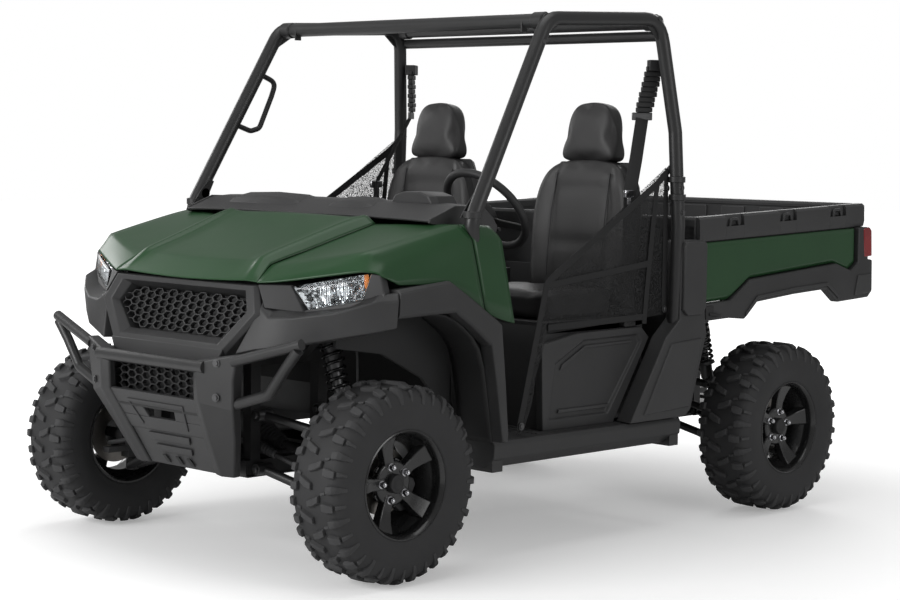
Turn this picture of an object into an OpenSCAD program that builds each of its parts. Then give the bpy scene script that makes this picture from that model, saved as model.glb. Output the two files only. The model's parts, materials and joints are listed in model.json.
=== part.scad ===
// Side by side utility vehicle: two seats, a tubular cage and a tipping cargo bed.
// Millimetres. +Z is up, the front faces -Y and the driver sits on the +X side.
// The origin is on the ground, at the middle of the whole vehicle's box.

/* [Chassis] */
// Distance between the front and rear axles
wheelbase = 2030; // [1800:10:2500]
// Distance between the middles of the left and right tyres
track = 1440; // [1300:10:1760]
// Place of the middle of the wheelbase, behind the origin
axle_mid_y = -130; // [-200:5:0]
// Height of the frame rails' underside
rail_z = 300; // [260:5:360]
// Width and height of a frame rail
rail = 50; // [30:1:70]
// Distance from the centre plane to a frame rail's outer face
rail_x = 260; // [200:5:300]
// Thickness of the skid plate
skid_t = 4; // [3:1:8]

/* [Wheels] */
// Outer diameter of a tyre over its tread
tyre_d = 644; // [560:2:780]
// Width of a tyre
tyre_w = 230; // [180:2:280]
// Diameter of the rim's outer lip
rim_lip_d = 352; // [300:2:420]
// Width of the rim over its lips
rim_w = 206; // [150:2:250]
// Circle that the wheel bolts lie on
bolt_circle_d = 110; // [90:1:160]
// Wheel bolts, and spokes, on each wheel
bolts = 5; // [4:1:6]
// Diameter of the stub axle in the wheel's hub
stub_d = 36; // [25:1:50]

/* [Cab] */
// Height of the cab floor
floor_z = 400; // [360:5:450]
// Thickness of the cab's sheet panels
panel_t = 5; // [3:1:10]
// Half the width of the cab floor
floor_x = 600; // [500:5:700]
// Distance from the centre plane to the sills' outer faces
sill_x = 745; // [650:5:800]
// Height of the seat cushions' underside
seat_z = 780; // [700:5:860]
// Width of a seat cushion
seat_w = 500; // [400:5:560]
// Distance from the centre plane to the middle of a seat
seat_x = 405; // [330:5:450]
// Thickness of a seat cushion
cushion_t = 110; // [60:5:150]
// Diameter of the steering wheel
steering_d = 360; // [300:5:420]

/* [Cage] */
// Diameter of the cage tubes
cage_d = 50; // [38:1:60]
// Height of the cage tubes' centre line at the front corner
cage_front_z = 1817; // [1650:5:2000]
// Height of the cage tubes' centre line at the rear corner
cage_rear_z = 1845; // [1650:5:2000]
// Radius of the cage's bends, to the centre line
bend_r = 95; // [70:5:160]

/* [Body panels] */
// Thickness of the hood and fender skins
skin_t = 5; // [3:1:10]
// Distance from the centre plane to the flares' outer faces
flare_x = 802; // [740:2:900]
// Gap between panels that meet
panel_gap = 3; // [1:1:8]
// Diameter of the bumper's cross tube
bumper_d = 42; // [30:1:60]

/* [Bed] */
// Length of the cargo bed
bed_len = 1075; // [800:5:1400]
// Width of the cargo bed over its rails
bed_w = 1440; // [1200:5:1600]
// Height of the bed rails' top at the front
bed_top_z = 1129; // [1000:5:1250]
// Depth of the bed inside
bed_depth = 285; // [200:5:400]
// Slope of the bed, rising to the rear, degrees
bed_rise = 2; // [0:0.5:4]
// Thickness of the bed's walls
bed_wall = 30; // [15:1:50]

/* [Hidden] */
$fn = 48;
wheel_fn = 96;
tube_sides = 16;                            // sides of a bent tube

// Stations along the vehicle
y_front = axle_mid_y - wheelbase / 2;       // front axle
y_rear = axle_mid_y + wheelbase / 2;        // rear axle
firewall_y = y_front + 410;                 // cab's front wall
cab_rear_y = y_rear - 598;                  // front face of the rear posts
nose_y = y_front - 185;                     // front ends of the frame rails
tail_y = y_rear + 415;                      // rear ends of the frame rails
axle_z = tyre_d / 2;
wheel_x = track / 2;
rail_in = rail_x - rail;
rail_top = rail_z + rail;

// Steering
kingpin_x = wheel_x - tyre_w / 2 + 5;
wheel_tilt = 38;                            // steering axis above the horizontal
steering_y = firewall_y + 375;
steering_z = 1160;
steering_x = seat_x - 10;
run_gap = 0.3;                              // clearance of a part that turns on another
seam = 0.5;                                 // gap between panels that meet
pillar_gap = 3;                             // room around a cage tube that passes a panel

// Cab stations
base_top = seat_z - run_gap;
base_x = 655;
base_y0 = cab_rear_y - 632;
base_y1 = cab_rear_y - 90;
side_x = 685;                               // outer face of the seat base's side panels
post_x = 772;                               // outer face of the rear posts
sill_y0 = firewall_y + 67;
sill_y1 = cab_rear_y + 31;
foot_a_y = firewall_y + 95;                 // front pillars' feet
foot_b_y = cab_rear_y + 5;                  // rear pillars' feet
sill_top = floor_z + panel_t;

// Bed stations, in the bed's own frame before it is sloped
bed_y0 = y_rear - 441;
bed_y1 = bed_y0 + bed_len;
bed_x = bed_w / 2;
bed_floor_t = 20;
bed_floor_z = bed_top_z - bed_depth;
bed_under_z = bed_floor_z - bed_floor_t;
bed_pivot_y = y_rear + 380;
bed_pivot_z = bed_under_z - 70;
gate_t = 30;
gate_hinge_y = bed_y1 - 10;
gate_hinge_z = bed_floor_z + 18;
gate_gap = 6;

// Where a point of the level bed comes to once the bed is sloped, as [y, z]
function bed_point(y, z) = let (dy = y - bed_y0, dz = z - bed_under_z)
    [bed_y0 + dy * cos(bed_rise) - dz * sin(bed_rise), bed_under_z + dy * sin(bed_rise) + dz * cos(bed_rise)];
bed_pivot = bed_point(bed_pivot_y, bed_pivot_z);
bed_pin_d = 20;

// The left and the right one of a piece that is drawn at +X
module both() {
    children();
    mirror([1, 0, 0]) children();
}

// A round bar from a to b
module bar(a, b, d) {
    v = b - a;
    translate(a)
        rotate([0, acos(v.z / norm(v)), atan2(v.y, v.x)])
            cylinder(h = norm(v), d = d);
}

function unit(v) = v / norm(v);

// Points of an arc of radius r that rounds the corner b between a and c
function bend(a, b, c, r) = let (
    u = unit(b - a),
    v = unit(c - b),
    turn = acos(u * v),
    inward = unit(v - u * (u * v)),
    start = b - u * r * tan(turn / 2),
    steps = max(1, ceil(turn / 14)))
    [for (k = [0 : steps]) let (t = turn * k / steps)
        start + u * r * sin(t) + inward * r * (1 - cos(t))];

// Unit normals carried along a line of points, so that a swept tube doesn't twist
function carried(dirs) = [for (
    i = 0, n = unit(cross(dirs[0], [0.3, 0.5, 0.81]));
    i < len(dirs);
    i = i + 1, n = i < len(dirs) ? unit(n - dirs[i] * (n * dirs[i])) : n) n];

// A round tube along pts, with bends of radius r, to the centre line
module bent_tube(pts, d, r) {
    last = len(pts) - 1;
    path = [pts[0],
        for (i = [1 : last - 1]) each bend(pts[i - 1], pts[i], pts[i + 1], r),
        pts[last]];
    m = len(path) - 1;
    dirs = [for (i = [0 : m]) unit(path[min(i + 1, m)] - path[max(i - 1, 0)])];
    normals = carried(dirs);
    loft([for (i = [0 : m]) let (side = cross(dirs[i], normals[i]))
        [for (k = [0 : tube_sides - 1]) let (a = 360 * k / tube_sides)
            path[i] + (normals[i] * cos(a) - side * sin(a)) * d / 2]]);
}

// A plate in the YZ plane: outline in [y, z], from x0 to x1
module plate_x(x0, x1, outline) {
    translate([x0, 0, 0]) multmatrix([[0, 0, 1, 0], [1, 0, 0, 0], [0, 1, 0, 0], [0, 0, 0, 1]])
        linear_extrude(x1 - x0) polygon(outline);
}

// A plate in the XZ plane: outline in [x, z], from y0 to y1
module plate_y(y0, y1, outline) {
    translate([0, y1, 0]) rotate([90, 0, 0]) linear_extrude(y1 - y0) polygon(outline);
}

// A block between two opposite corners
module block(a, b) {
    translate(a) cube(b - a);
}

// A closed skin over a grid of points, as thick as the vector inner
module sheet(grid, inner) {
    rows = len(grid);
    cols = len(grid[0]);
    n = rows * cols;
    pts = concat([for (row = grid) each row], [for (row = grid) for (p = row) p + inner]);
    top = [for (i = [0 : rows - 2]) for (j = [0 : cols - 2])
        each [[i * cols + j, (i + 1) * cols + j, (i + 1) * cols + j + 1],
              [i * cols + j, (i + 1) * cols + j + 1, i * cols + j + 1]]];
    bottom = [for (f = top) [n + f[2], n + f[1], n + f[0]]];
    edge = concat(
        [for (j = [0 : cols - 1]) j],
        [for (i = [1 : rows - 1]) i * cols + cols - 1],
        [for (j = [cols - 2 : -1 : 0]) (rows - 1) * cols + j],
        [for (i = [rows - 2 : -1 : 1]) i * cols]);
    m = len(edge);
    rim = [for (k = [0 : m - 1]) let (a = edge[k], b = edge[(k + 1) % m])
        each [[a, b, n + b], [a, n + b, n + a]]];
    polyhedron(pts, concat(top, bottom, rim), convexity = 6);
}

// A solid skinned over sections that each have the same number of points
module loft(sections) {
    rows = len(sections);
    cols = len(sections[0]);
    sides = [for (i = [0 : rows - 2]) for (j = [0 : cols - 1]) let (k = (j + 1) % cols)
        each [[i * cols + j, i * cols + k, (i + 1) * cols + k],
              [i * cols + j, (i + 1) * cols + k, (i + 1) * cols + j]]];
    caps = [[for (j = [cols - 1 : -1 : 0]) j], [for (j = [0 : cols - 1]) (rows - 1) * cols + j]];
    polyhedron([for (s = sections) each s], concat(sides, caps), convexity = 6);
}

// ---- Frame ----

module frame_rails() {
    color("dimgray") both()
        block([rail_in, nose_y, rail_z], [rail_x, tail_y, rail_top]);
}

// Bars between the rails, and the outriggers that carry the cage and the sills
module crossmembers() {
    color("dimgray") {
        for (y = [nose_y, y_front + 215, cab_rear_y - 440, cab_rear_y - 20, y_rear + 220, tail_y - rail])
            block([-rail_in, y, rail_z], [rail_in, y + rail, rail_top]);
        both() for (y = [foot_a_y, foot_b_y])
            block([rail_x, y - rail / 2, rail_z], [sill_x - 10, y + rail / 2, rail_top]);
        hitch();
    }
}

// Receiver behind the last crossmember, for a square drawbar and its pin
hitch_w = 65;
hitch_bore = 51;
hitch_l = 90;
hitch_pin_d = 16;
module hitch() {
    translate([-hitch_w / 2, tail_y, rail_z]) difference() {
        cube([hitch_w, hitch_l, hitch_w]);
        translate([(hitch_w - hitch_bore) / 2, 8, (hitch_w - hitch_bore) / 2])
            cube([hitch_bore, hitch_l, hitch_bore]);
        translate([-1, hitch_l - 40, hitch_w / 2]) rotate([0, 90, 0])
            cylinder(h = hitch_w + 2, d = hitch_pin_d);
    }
}

// Upright frames that carry the suspension, the nose and the bed
tower_x = 400;
front_tower_y = y_front + 40;
rear_tower_y = y_rear - 110;
front_tower_z = 800;
rear_tower_z = 790;
post_in = rail_x - 40;
module front_tower() {
    plate_y(front_tower_y - 20, front_tower_y + 20,
        [[rail_x, 660], [rail_x, 740], [tower_x - 40, front_tower_z + 30],
         [tower_x + 25, front_tower_z + 30], [tower_x + 25, front_tower_z]]);
}

module rear_tower() {
    plate_y(rear_tower_y - 20, rear_tower_y + 20,
        [[rail_x, 640], [rail_x, 740], [tower_x + 65, rear_tower_z],
         [tower_x + 65, rear_tower_z - 30]]);
}

module subframes() {
    color("dimgray") {
        // front: four posts, their top rails and the shock tower
        both() {
            for (y = [y_front - 165, y_front + 125])
                block([post_in, y, rail_top], [rail_x, y + 40, 700]);
            block([post_in, y_front - 165, 660], [rail_x, y_front + 165, 700]);
            front_tower();
        }
        block([-rail_x, front_tower_y - 20, 700], [rail_x, front_tower_y + 20, 740]);
        // rear: four posts, the deck that the bed rests on and the shock tower
        both() {
            for (y = [y_rear - 165, y_rear + 125])
                block([post_in, y, rail_top], [rail_x, y + 40, 700]);
            block([post_in, bed_y0 + 50, 700], [rail_x, bed_pivot_y - 30, 740]);
            rear_tower();
        }
        for (y = [bed_y0 + 50, y_rear + 125])
            block([-post_in, y, 700], [post_in, y + 40, 740]);
        // pads under the front of the bed, and the ears of its pivot
        both() {
            block([post_in, bed_y0 + 50, 740], [rail_x, bed_y0 + 90, bed_point(bed_y0 + 50, bed_under_z).y - run_gap]);
            plate_x(rail_x - 12, rail_x, [
                [bed_pivot.x - 62, 700], [bed_pivot.x + 25, bed_pivot.y - 25],
                [bed_pivot.x + 25, bed_pivot.y + 25], [bed_pivot.x - 25, bed_pivot.y + 25],
                [bed_pivot.x - 110, 740]]);
            bar([rail_x - 32, bed_pivot.x, bed_pivot.y], [rail_x - 6, bed_pivot.x, bed_pivot.y], bed_pin_d);
        }
    }
}

module skid_plate() {
    color("black")
        block([-rail_x - 8, nose_y, rail_z - skid_t], [rail_x + 8, cab_rear_y + 60, rail_z]);
}

// ---- Drive line and suspension ----

engine_y0 = cab_rear_y - 420;
engine_y1 = cab_rear_y + 90;
engine_top = 660;
module engine() {
    color("gray") {
        block([-rail_in + 10, engine_y0, rail_top], [rail_in - 10, engine_y1, engine_top]);
    }
}

module muffler() {
    color("silver") {
        bar([-200, tail_y - 190, 610], [200, tail_y - 190, 610], 150);
        block([-20, tail_y - 210, rail_top], [20, tail_y - 170, 560]);
    }
}

drive_d = 120;
drive_z = rail_top + drive_d / 2 + 2;
// A gear housing over the rails with a half shaft to each side
module drive(y, reach) {
    inner = [120, y, drive_z];
    outer = [reach, y, axle_z];
    v = unit(outer - inner);
    bar([-120, y, drive_z], [120, y, drive_z], drive_d);
    block([-rail_in, y - 60, rail_top - 20], [rail_in, y + 60, rail_top + 10]);
    both() {
        bar(inner - v * 10, outer, 28);
        translate(inner + v * 20) rotate([0, acos(v.z), 0]) cylinder(h = 90, d1 = 84, d2 = 44);
        translate(outer - v * 100) rotate([0, acos(v.z), 0]) cylinder(h = 70, d1 = 44, d2 = 76);
    }
}

shaft_reach = kingpin_x - 34;
// The steering rack, and the rods that end over the knuckles' arms
rack_y = y_front - 102;
rack_z = 388;
rod_z = axle_z - 30 + 6 + 8;
module steering_rack() {
    bar([-238, rack_y, rack_z], [238, rack_y, rack_z], 36);
    both() {
        block([post_in, y_front - 125 + run_gap, rack_z - 15], [rail_x - 12, rack_y, rack_z + 15]);
        bar([234, rack_y, rack_z], [kingpin_x - 8, y_front - 108, rod_z], 16);
    }
}

module front_drive() {
    color("dimgray") {
        drive(y_front, shaft_reach - 12);
        steering_rack();
    }
}

module rear_drive() {
    color("dimgray") drive(y_rear, shaft_reach);
}

arm_spread = 130;
arm_low_z = 215;
arm_high_z = 432;
arm_frame_z = 322;                          // lower arms' pivots on the frame
arm_upper_frame_z = 500;
arm_d = 30;
arm_tip_h = 30;
eye_d = 38;                                 // pivots' outer diameter
eye_x = rail_x + eye_d / 2 + run_gap;
ball_d = 18;                                // ball joints' pins
ball_l = 32;
low_gap = 17;                               // room over the lower arm's tip for the knuckle
high_gap = 5;
// Where the dampers stand on the upper arms
arm_seat_x = 475;
arm_share = (arm_seat_x - eye_x) / (kingpin_x - 8 - eye_x);
arm_seat_dy = arm_spread + (12 - arm_spread) * arm_share;
arm_seat_z = arm_upper_frame_z + (arm_high_z - arm_upper_frame_z) * arm_share;

// One tube of an arm, from the frame (side -1 is forward) to the ball joint
module arm_tube(y, side, z_frame, z_tip, extra = 0) {
    bar([eye_x, y + side * arm_spread, z_frame], [kingpin_x - 8, y + side * 12, z_tip], arm_d + extra);
}

// Two tubes from the frame to one ball joint, whose pin points up or down
module wishbone(y, z_frame, z_tip, pin_up) {
    for (s = [-1, 1]) {
        arm_tube(y, s, z_frame, z_tip);
        translate([eye_x, y + s * arm_spread, z_frame])
            rotate([90, 0, 0]) cylinder(h = 56, d = eye_d, center = true);
    }
    translate([kingpin_x, y, z_tip - arm_tip_h / 2]) cylinder(h = arm_tip_h, d = 46);
    translate([kingpin_x, y, z_tip - (pin_up ? 0 : ball_l + arm_tip_h / 2)])
        cylinder(h = ball_l + arm_tip_h / 2, d = ball_d);
}

module arm_pair(y) {
    wishbone(y, arm_frame_z, arm_low_z, true);
    wishbone(y, arm_upper_frame_z, arm_high_z, false);
}

module front_arms() {
    color("dimgray") both() arm_pair(y_front);
}

module rear_arms() {
    color("dimgray") both() arm_pair(y_rear);
}

// A coil over damper between two points
module shock(top, foot) {
    v = unit(foot - top);
    bar(top, top + v * 130, 24);
    bar(top + v * 110, foot - v * 20, 50);
    bar(foot - v * 30, foot, 24);
    bar(top + v * 40, foot - v * 90, 78);
}

front_shock_top = [tower_x, front_tower_y, front_tower_z - 8];
rear_shock_top = [tower_x + 50, rear_tower_y, rear_tower_z - 38];
module front_shocks() {
    color("black") both() difference() {
        shock(front_shock_top, [arm_seat_x, y_front + arm_seat_dy, arm_seat_z]);
        front_tower();
        arm_tube(y_front, 1, arm_upper_frame_z, arm_high_z, 2 * run_gap);
    }
}

module rear_shocks() {
    color("black") both() difference() {
        shock(rear_shock_top, [arm_seat_x, y_rear - arm_seat_dy, arm_seat_z]);
        rear_tower();
        arm_tube(y_rear, -1, arm_upper_frame_z, arm_high_z, 2 * run_gap);
    }
}

// What the wheel turns on: a block between the ball joints, and a stub axle
module upright(y) {
    z0 = arm_low_z + arm_tip_h / 2 + low_gap;
    z1 = arm_high_z - arm_tip_h / 2 - high_gap;
    difference() {
        block([kingpin_x - 24, y - 32, z0], [kingpin_x + 22, y + 32, z1]);
        translate([kingpin_x, y, 0])
            cylinder(h = arm_low_z + arm_tip_h / 2 + ball_l + run_gap, d = ball_d + 2 * run_gap);
        translate([kingpin_x, y, arm_high_z - arm_tip_h / 2 - ball_l - run_gap])
            cylinder(h = 100, d = ball_d + 2 * run_gap);
    }
    bar([kingpin_x, y, axle_z], [kingpin_x + 40, y, axle_z], 90);
    bar([kingpin_x + 40, y, axle_z], [wheel_x + 52, y, axle_z], stub_d);
}

module rear_uprights() {
    color("gray") both() upright(y_rear);
}

// The steering arm reaches forward of the kingpin, under the tie rod's end
module knuckle() {
    upright(y_front);
    block([kingpin_x - 24, y_front - 120, axle_z - 50], [kingpin_x + 10, y_front, axle_z - 30]);
}

module knuckle_left() {
    color("gray") knuckle();
}

module knuckle_right() {
    color("gray") mirror([1, 0, 0]) knuckle();
}

// ---- Wheels, drawn with their axis along X and the outside towards +X ----

rim_r = rim_lip_d / 2;
bead_r = rim_r - 10;
hub_x = 22;                                 // mounting face, outboard of the wheel's middle
module rim() {
    w = rim_w / 2;
    rotate([0, 90, 0]) rotate_extrude($fn = wheel_fn) polygon([
        [rim_r - 14, -w], [rim_r, -w], [rim_r, -w + 8], [bead_r, -w + 14], [bead_r, -w + 42],
        [bead_r - 26, -w + 62], [bead_r - 26, w - 74], [bead_r, w - 40], [bead_r, w - 14],
        [rim_r, w - 8], [rim_r, w], [rim_r - 14, w], [bead_r - 8, w - 40],
        [bead_r - 34, w - 76], [bead_r - 34, -w + 58], [bead_r - 8, -w + 38]]);
    difference() {
        union() {
            translate([hub_x, 0, 0]) rotate([0, 90, 0]) cylinder(h = 22, d = bolt_circle_d + 46);
            for (i = [0 : bolts - 1]) rotate([360 / bolts * i, 0, 0])
                plate_x(hub_x + 1, hub_x + 21, [[-24, 40], [-20, 100], [-26, rim_r - 40],
                    [26, rim_r - 40], [20, 100], [24, 40]]);
            translate([hub_x, 0, 0]) rotate([0, 90, 0]) cylinder(h = 38, d = 62);
        }
        translate([hub_x - 1, 0, 0]) rotate([0, 90, 0])
            cylinder(h = wheel_x + 52 - hub_x + 1 - wheel_x + 1, d = stub_d + 2 * run_gap);
        for (i = [0 : bolts - 1]) rotate([360 / bolts * (i + 0.5), 0, 0])
            translate([hub_x - 1, 0, bolt_circle_d / 2]) rotate([0, 90, 0]) cylinder(h = 24, d = 12.5);
    }
}

module tyre() {
    w = tyre_w / 2;
    r = tyre_d / 2;
    b = rim_w / 2 - 14.2;
    rotate([0, 90, 0]) rotate_extrude($fn = wheel_fn) polygon([
        [bead_r + 0.2, -b], [bead_r + 30, -w + 8], [r - 75, -w], [r - 34, -w + 4], [r - 6, -w + 34],
        [r, -w + 60], [r, w - 60], [r - 6, w - 34], [r - 34, w - 4], [r - 75, w],
        [bead_r + 30, w - 8], [bead_r + 0.2, b]]);
}

module at_wheel(y, side) {
    translate([side * wheel_x, y, axle_z]) scale_side(side) children();
}

// The wheels' outer faces point away from the centre plane
module scale_side(side) {
    if (side > 0) children();
    else mirror([1, 0, 0]) children();
}

module rim_front_left() { color("black") at_wheel(y_front, 1) rim(); }
module rim_front_right() { color("black") at_wheel(y_front, -1) rim(); }
module rim_rear_left() { color("black") at_wheel(y_rear, 1) rim(); }
module rim_rear_right() { color("black") at_wheel(y_rear, -1) rim(); }
module tyre_front_left() { color("black") at_wheel(y_front, 1) tyre(); }
module tyre_front_right() { color("black") at_wheel(y_front, -1) tyre(); }
module tyre_rear_left() { color("black") at_wheel(y_rear, 1) tyre(); }
module tyre_rear_right() { color("black") at_wheel(y_rear, -1) tyre(); }

// ---- Cage ----

pillar_foot_z = rail_top;
cage_front_y = firewall_y + 351;
cage_rear_y = cab_rear_y - 52;
left_hoop = [
    [690, foot_a_y, pillar_foot_z], [690, foot_a_y, pillar_foot_z + 90], [690, firewall_y + 45, 700], [733, firewall_y - 44, 1139],
    [694, cage_front_y, cage_front_z], [676, cage_rear_y, cage_rear_z],
    [718, cab_rear_y - 2, 1440], [735, cab_rear_y + 5, 1100],
    [716, foot_b_y, pillar_foot_z + 90], [716, foot_b_y, pillar_foot_z]];

module cage_hoop() {
    bent_tube(left_hoop, cage_d, bend_r);
}

// Room for the feet of the hoop in the panels that they pass through
module pillar_holes() {
    n = len(left_hoop);
    for (i = [0, 1, 2, 3, n - 4])
        bar(left_hoop[i], left_hoop[i + 1], cage_d + 2 * pillar_gap);
    // the rear pillar's hole runs straight on past its last bend
    a = left_hoop[n - 3];
    b = left_hoop[n - 2];
    bar(a, b + (b - a) * 0.2, cage_d + 2 * pillar_gap + 2);
}

// A flat plate in a corner of the hoop, between three [y, z] points
module gusset(a, b, c) {
    plate_x(682, 687, [a, b, c]);
}

module roll_cage() {
    color("black") {
        both() cage_hoop();
        bar([-692, cage_front_y + 9, cage_front_z - 6], [692, cage_front_y + 9, cage_front_z - 6], cage_d);
        bar([-676, cage_rear_y - 2, cage_rear_z - 12], [676, cage_rear_y - 2, cage_rear_z - 12], cage_d);
        bar([-684, cage_rear_y + 22, cage_rear_z - 60], [684, cage_rear_y + 22, cage_rear_z - 60], cage_d - 12);
        both() bar([730, cab_rear_y + 2, 1200], [730, cab_rear_y + 2, 1212], 74);
        both() {
            gusset([cage_front_y + 4, cage_front_z - 8], [cage_front_y + 96, cage_front_z - 2],
                [cage_front_y - 46, cage_front_z - 86]);
            gusset([cage_rear_y - 8, cage_rear_z - 8], [cage_rear_y + 10, cage_rear_z - 100],
                [cage_rear_y - 100, cage_rear_z - 12]);
        }
        // grab handle on the passenger's front pillar
        bent_tube([[-705, cage_front_y - 88, 1644], [-702, cage_front_y - 8, 1606],
            [-702, cage_front_y - 96, 1436], [-712, cage_front_y - 196, 1447]], 20, 24);
    }
}

// ---- Cab ----

module cab_floor() {
    y0 = firewall_y;
    color("darkslategray") difference() {
        plate_x(-floor_x, floor_x, [
            [base_y0, floor_z], [y0 + 95, floor_z], [y0, floor_z + 130], [y0, 1000],
            [y0 + panel_t, 1000], [y0 + panel_t, floor_z + 132], [y0 + 97, sill_top],
            [base_y0, sill_top]]);
    }
}

module sills() {
    color("black") both() difference() {
        translate([0, sill_y1, 0]) rotate([90, 0, 0]) linear_extrude(sill_y1 - sill_y0)
            polygon([[floor_x, rail_z + 10], [sill_x - 45, rail_z + 10], [sill_x, rail_z + 45],
                [sill_x, sill_top - 10], [sill_x - 8, sill_top], [floor_x, sill_top]]);
        for (y = [foot_a_y, foot_b_y])
            block([0, y - rail / 2 - seam, 0],
                [sill_x - 10 + seam, y + rail / 2 + seam, rail_top + seam]);
        pillar_holes();
    }
}

// The box under the seats, open below, with the side panels of the cab's lower openings
module seat_base() {
    w = panel_t;
    color("black") difference() {
        union() {
            plate_x(-base_x, base_x, [[base_y0, sill_top], [base_y0, 700], [base_y0 + 25, base_top],
                [base_y1, base_top], [base_y1, sill_top]]);
            both() plate_x(base_x, side_x, [[base_y0 - 20, sill_top], [base_y0 - 30, 705],
                [base_y0 + 150, 736], [cab_rear_y - 133, 741], [cab_rear_y - 86, 700],
                [cab_rear_y - 278, sill_top]]);
        }
        plate_x(-base_x + w, base_x - w, [[base_y0 + w, 0], [base_y0 + w, 698],
            [base_y0 + 28, base_top - w], [base_y1 - w, base_top - w], [base_y1 - w, 0]]);
        block([-rail_in, base_y1 - 50, 0], [rail_in, base_y1 + 1, engine_top + 20]);
        both() plate_x(side_x - 8, side_x + 1, [[base_y0 + 32, 480], [base_y0 + 80, 640],
            [base_y0 + 200, 700], [cab_rear_y - 150, 700], [cab_rear_y - 270, 480]]);
    }
}

// Lower rear sides of the cab, and the posts that cover the cage's rear feet
module quarter_panels() {
    c = cab_rear_y;
    color("black") both() difference() {
        union() {
            plate_x(640, post_x, [[c - 270, sill_top], [c - 78, 702], [c - 2, 762], [c, 1049],
                [c + 140, 1049], [c + 140, 784], [c + 158, 704], [c + 72, 430], [c + 40, sill_top]]);
        }
        plate_x(600, side_x + seam, [[c - 290, 0], [c - 290, base_top + 1], [base_y1 + seam, base_top + 1],
            [base_y1 + seam, 0]]);
        pillar_holes();
    }
}

cushion_y0 = base_y0 + 25;
cushion_y1 = cab_rear_y - 192;
module seat_cushions() {
    h = cushion_t;
    color("black") both() plate_x(seat_x - seat_w / 2, seat_x + seat_w / 2, [
        [cushion_y0, seat_z], [cushion_y0 - 10, seat_z + h * 0.5], [cushion_y0 + 15, seat_z + h],
        [cushion_y0 + 70, seat_z + h], [cushion_y1, seat_z + h * 0.85], [cushion_y1, seat_z]]);
}

back_lean = 6;
back_t = 90;
module seat_backs() {
    color("black") both() translate([seat_x, cushion_y1 + 2, base_top + run_gap + back_t * sin(back_lean)])
        rotate([-back_lean, 0, 0]) {
        plate_y(0, back_t, [[-205, 0], [-228, 300], [-215, 470], [-150, 555], [150, 555],
            [215, 470], [228, 300], [205, 0]]);
        plate_y(30, 60, [[-60, 550], [60, 550], [60, 600], [-60, 600]]);
        plate_y(-5, back_t - 5, [[-135, 578], [-125, 640], [-88, 765], [-70, 778], [70, 778],
            [88, 765], [125, 640], [135, 578]]);
    }
}

// A shell under the windscreen opening, open towards the knees
dash_x = 640;
hood_rear_z = 1152;
hinge_y = y_front + 255;
hood_pin_y = hinge_y + 1;
hood_pin_z = 1142;
hood_pin_d = 5;
module dash() {
    y0 = firewall_y;
    outer = [[hinge_y + 8, hood_rear_z - 4], [y0 - 25, 1190], [y0 + 110, 1186], [y0 + 180, 1125],
        [y0 + 140, 960], [y0 + panel_t + seam, 900]];
    color("black") difference() {
        union() {
            plate_x(-dash_x, dash_x, concat(outer, [[y0 + panel_t + seam, 906], [y0 + 135, 966],
                [y0 + 174, 1123], [y0 + 108, 1180], [y0 - 24, 1184], [hinge_y + 8, hood_rear_z - 10]]));
            both() plate_x(dash_x - panel_t, dash_x, concat(outer,
                [[y0 + panel_t + seam, 1128], [hinge_y + 10, 1128]]));
            // hood over the gauge in front of the driver
            plate_x(steering_x - 120, steering_x + 120, [[y0 + 20, 1188], [y0 + 60, 1222],
                [y0 + 120, 1216], [y0 + 110, 1184]]);
            // mounting of the steering column
            block([steering_x - 40, y0 + 120, 990], [steering_x + 40, y0 + 150, 1060]);
            // ears and pins of the hood's hinges
            both() {
                plate_x(240.5, 248, [[hood_pin_y - 5, hood_pin_z - 3], [hood_pin_y - 5, hood_pin_z + 3],
                    [hood_pin_y - 2, hood_pin_z + 5], [hood_pin_y + 3, hood_pin_z + 5],
                    [hood_pin_y + 15, hood_pin_z + 7], [hood_pin_y + 15, hood_pin_z + 2],
                    [hood_pin_y + 3, hood_pin_z - 5], [hood_pin_y - 2, hood_pin_z - 5]]);
                bar([205, hood_pin_y, hood_pin_z], [244, hood_pin_y, hood_pin_z], hood_pin_d);
            }
        }
        both() pillar_holes();
        translate([steering_x, steering_y, steering_z]) rotate([wheel_tilt - 90, 0, 0])
            translate([0, 0, -500]) cylinder(h = 470, d = 50 + 2 * run_gap);
    }
}

// Steering column, pedals, gear lever and seat belt buckles
module controls() {
    color("black") {
        translate([steering_x, steering_y, steering_z]) rotate([wheel_tilt - 90, 0, 0]) {
            translate([0, 0, -330]) cylinder(h = 330 - 62, d = 50);
            translate([0, 0, -70]) cylinder(h = 62, d = 22);
        }
        for (x = [steering_x - 130, steering_x - 10]) {
            bar([x, firewall_y + panel_t + 7.4, 760], [x, firewall_y + 110, 560], 16);
            block([x - 35, firewall_y + 92, 530], [x + 35, firewall_y + 108, 590]);
        }
        bent_tube([[90, firewall_y + 150, 985], [90, firewall_y + 215, 1010], [90, firewall_y + 235, 1080]], 14, 20);
        translate([90, firewall_y + 236, 1084]) sphere(d = 44);
    }
}

module steering_wheel() {
    r = steering_d / 2 - 15;
    color("black") translate([steering_x, steering_y, steering_z]) rotate([wheel_tilt - 90, 0, 0])
        difference() {
            union() {
                rotate_extrude() translate([r, 0]) circle(d = 30);
                translate([0, 0, -55]) cylinder(h = 50, d = 90);
                for (a = [90, 210, 330]) rotate([0, 0, a])
                    plate_y(-16, 16, [[20, -50], [20, -30], [r - 4, 8], [r - 4, -8]]);
            }
            translate([0, 0, -56]) cylinder(h = 48, d = 22 + 2 * run_gap);
        }
}

// ---- Nose ----

nose_tilt = 19;                             // the grille's slope from upright
module nose_plane() {
    translate([0, y_front - 235, 940]) rotate([-nose_tilt, 0, 0]) children();
}

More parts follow.
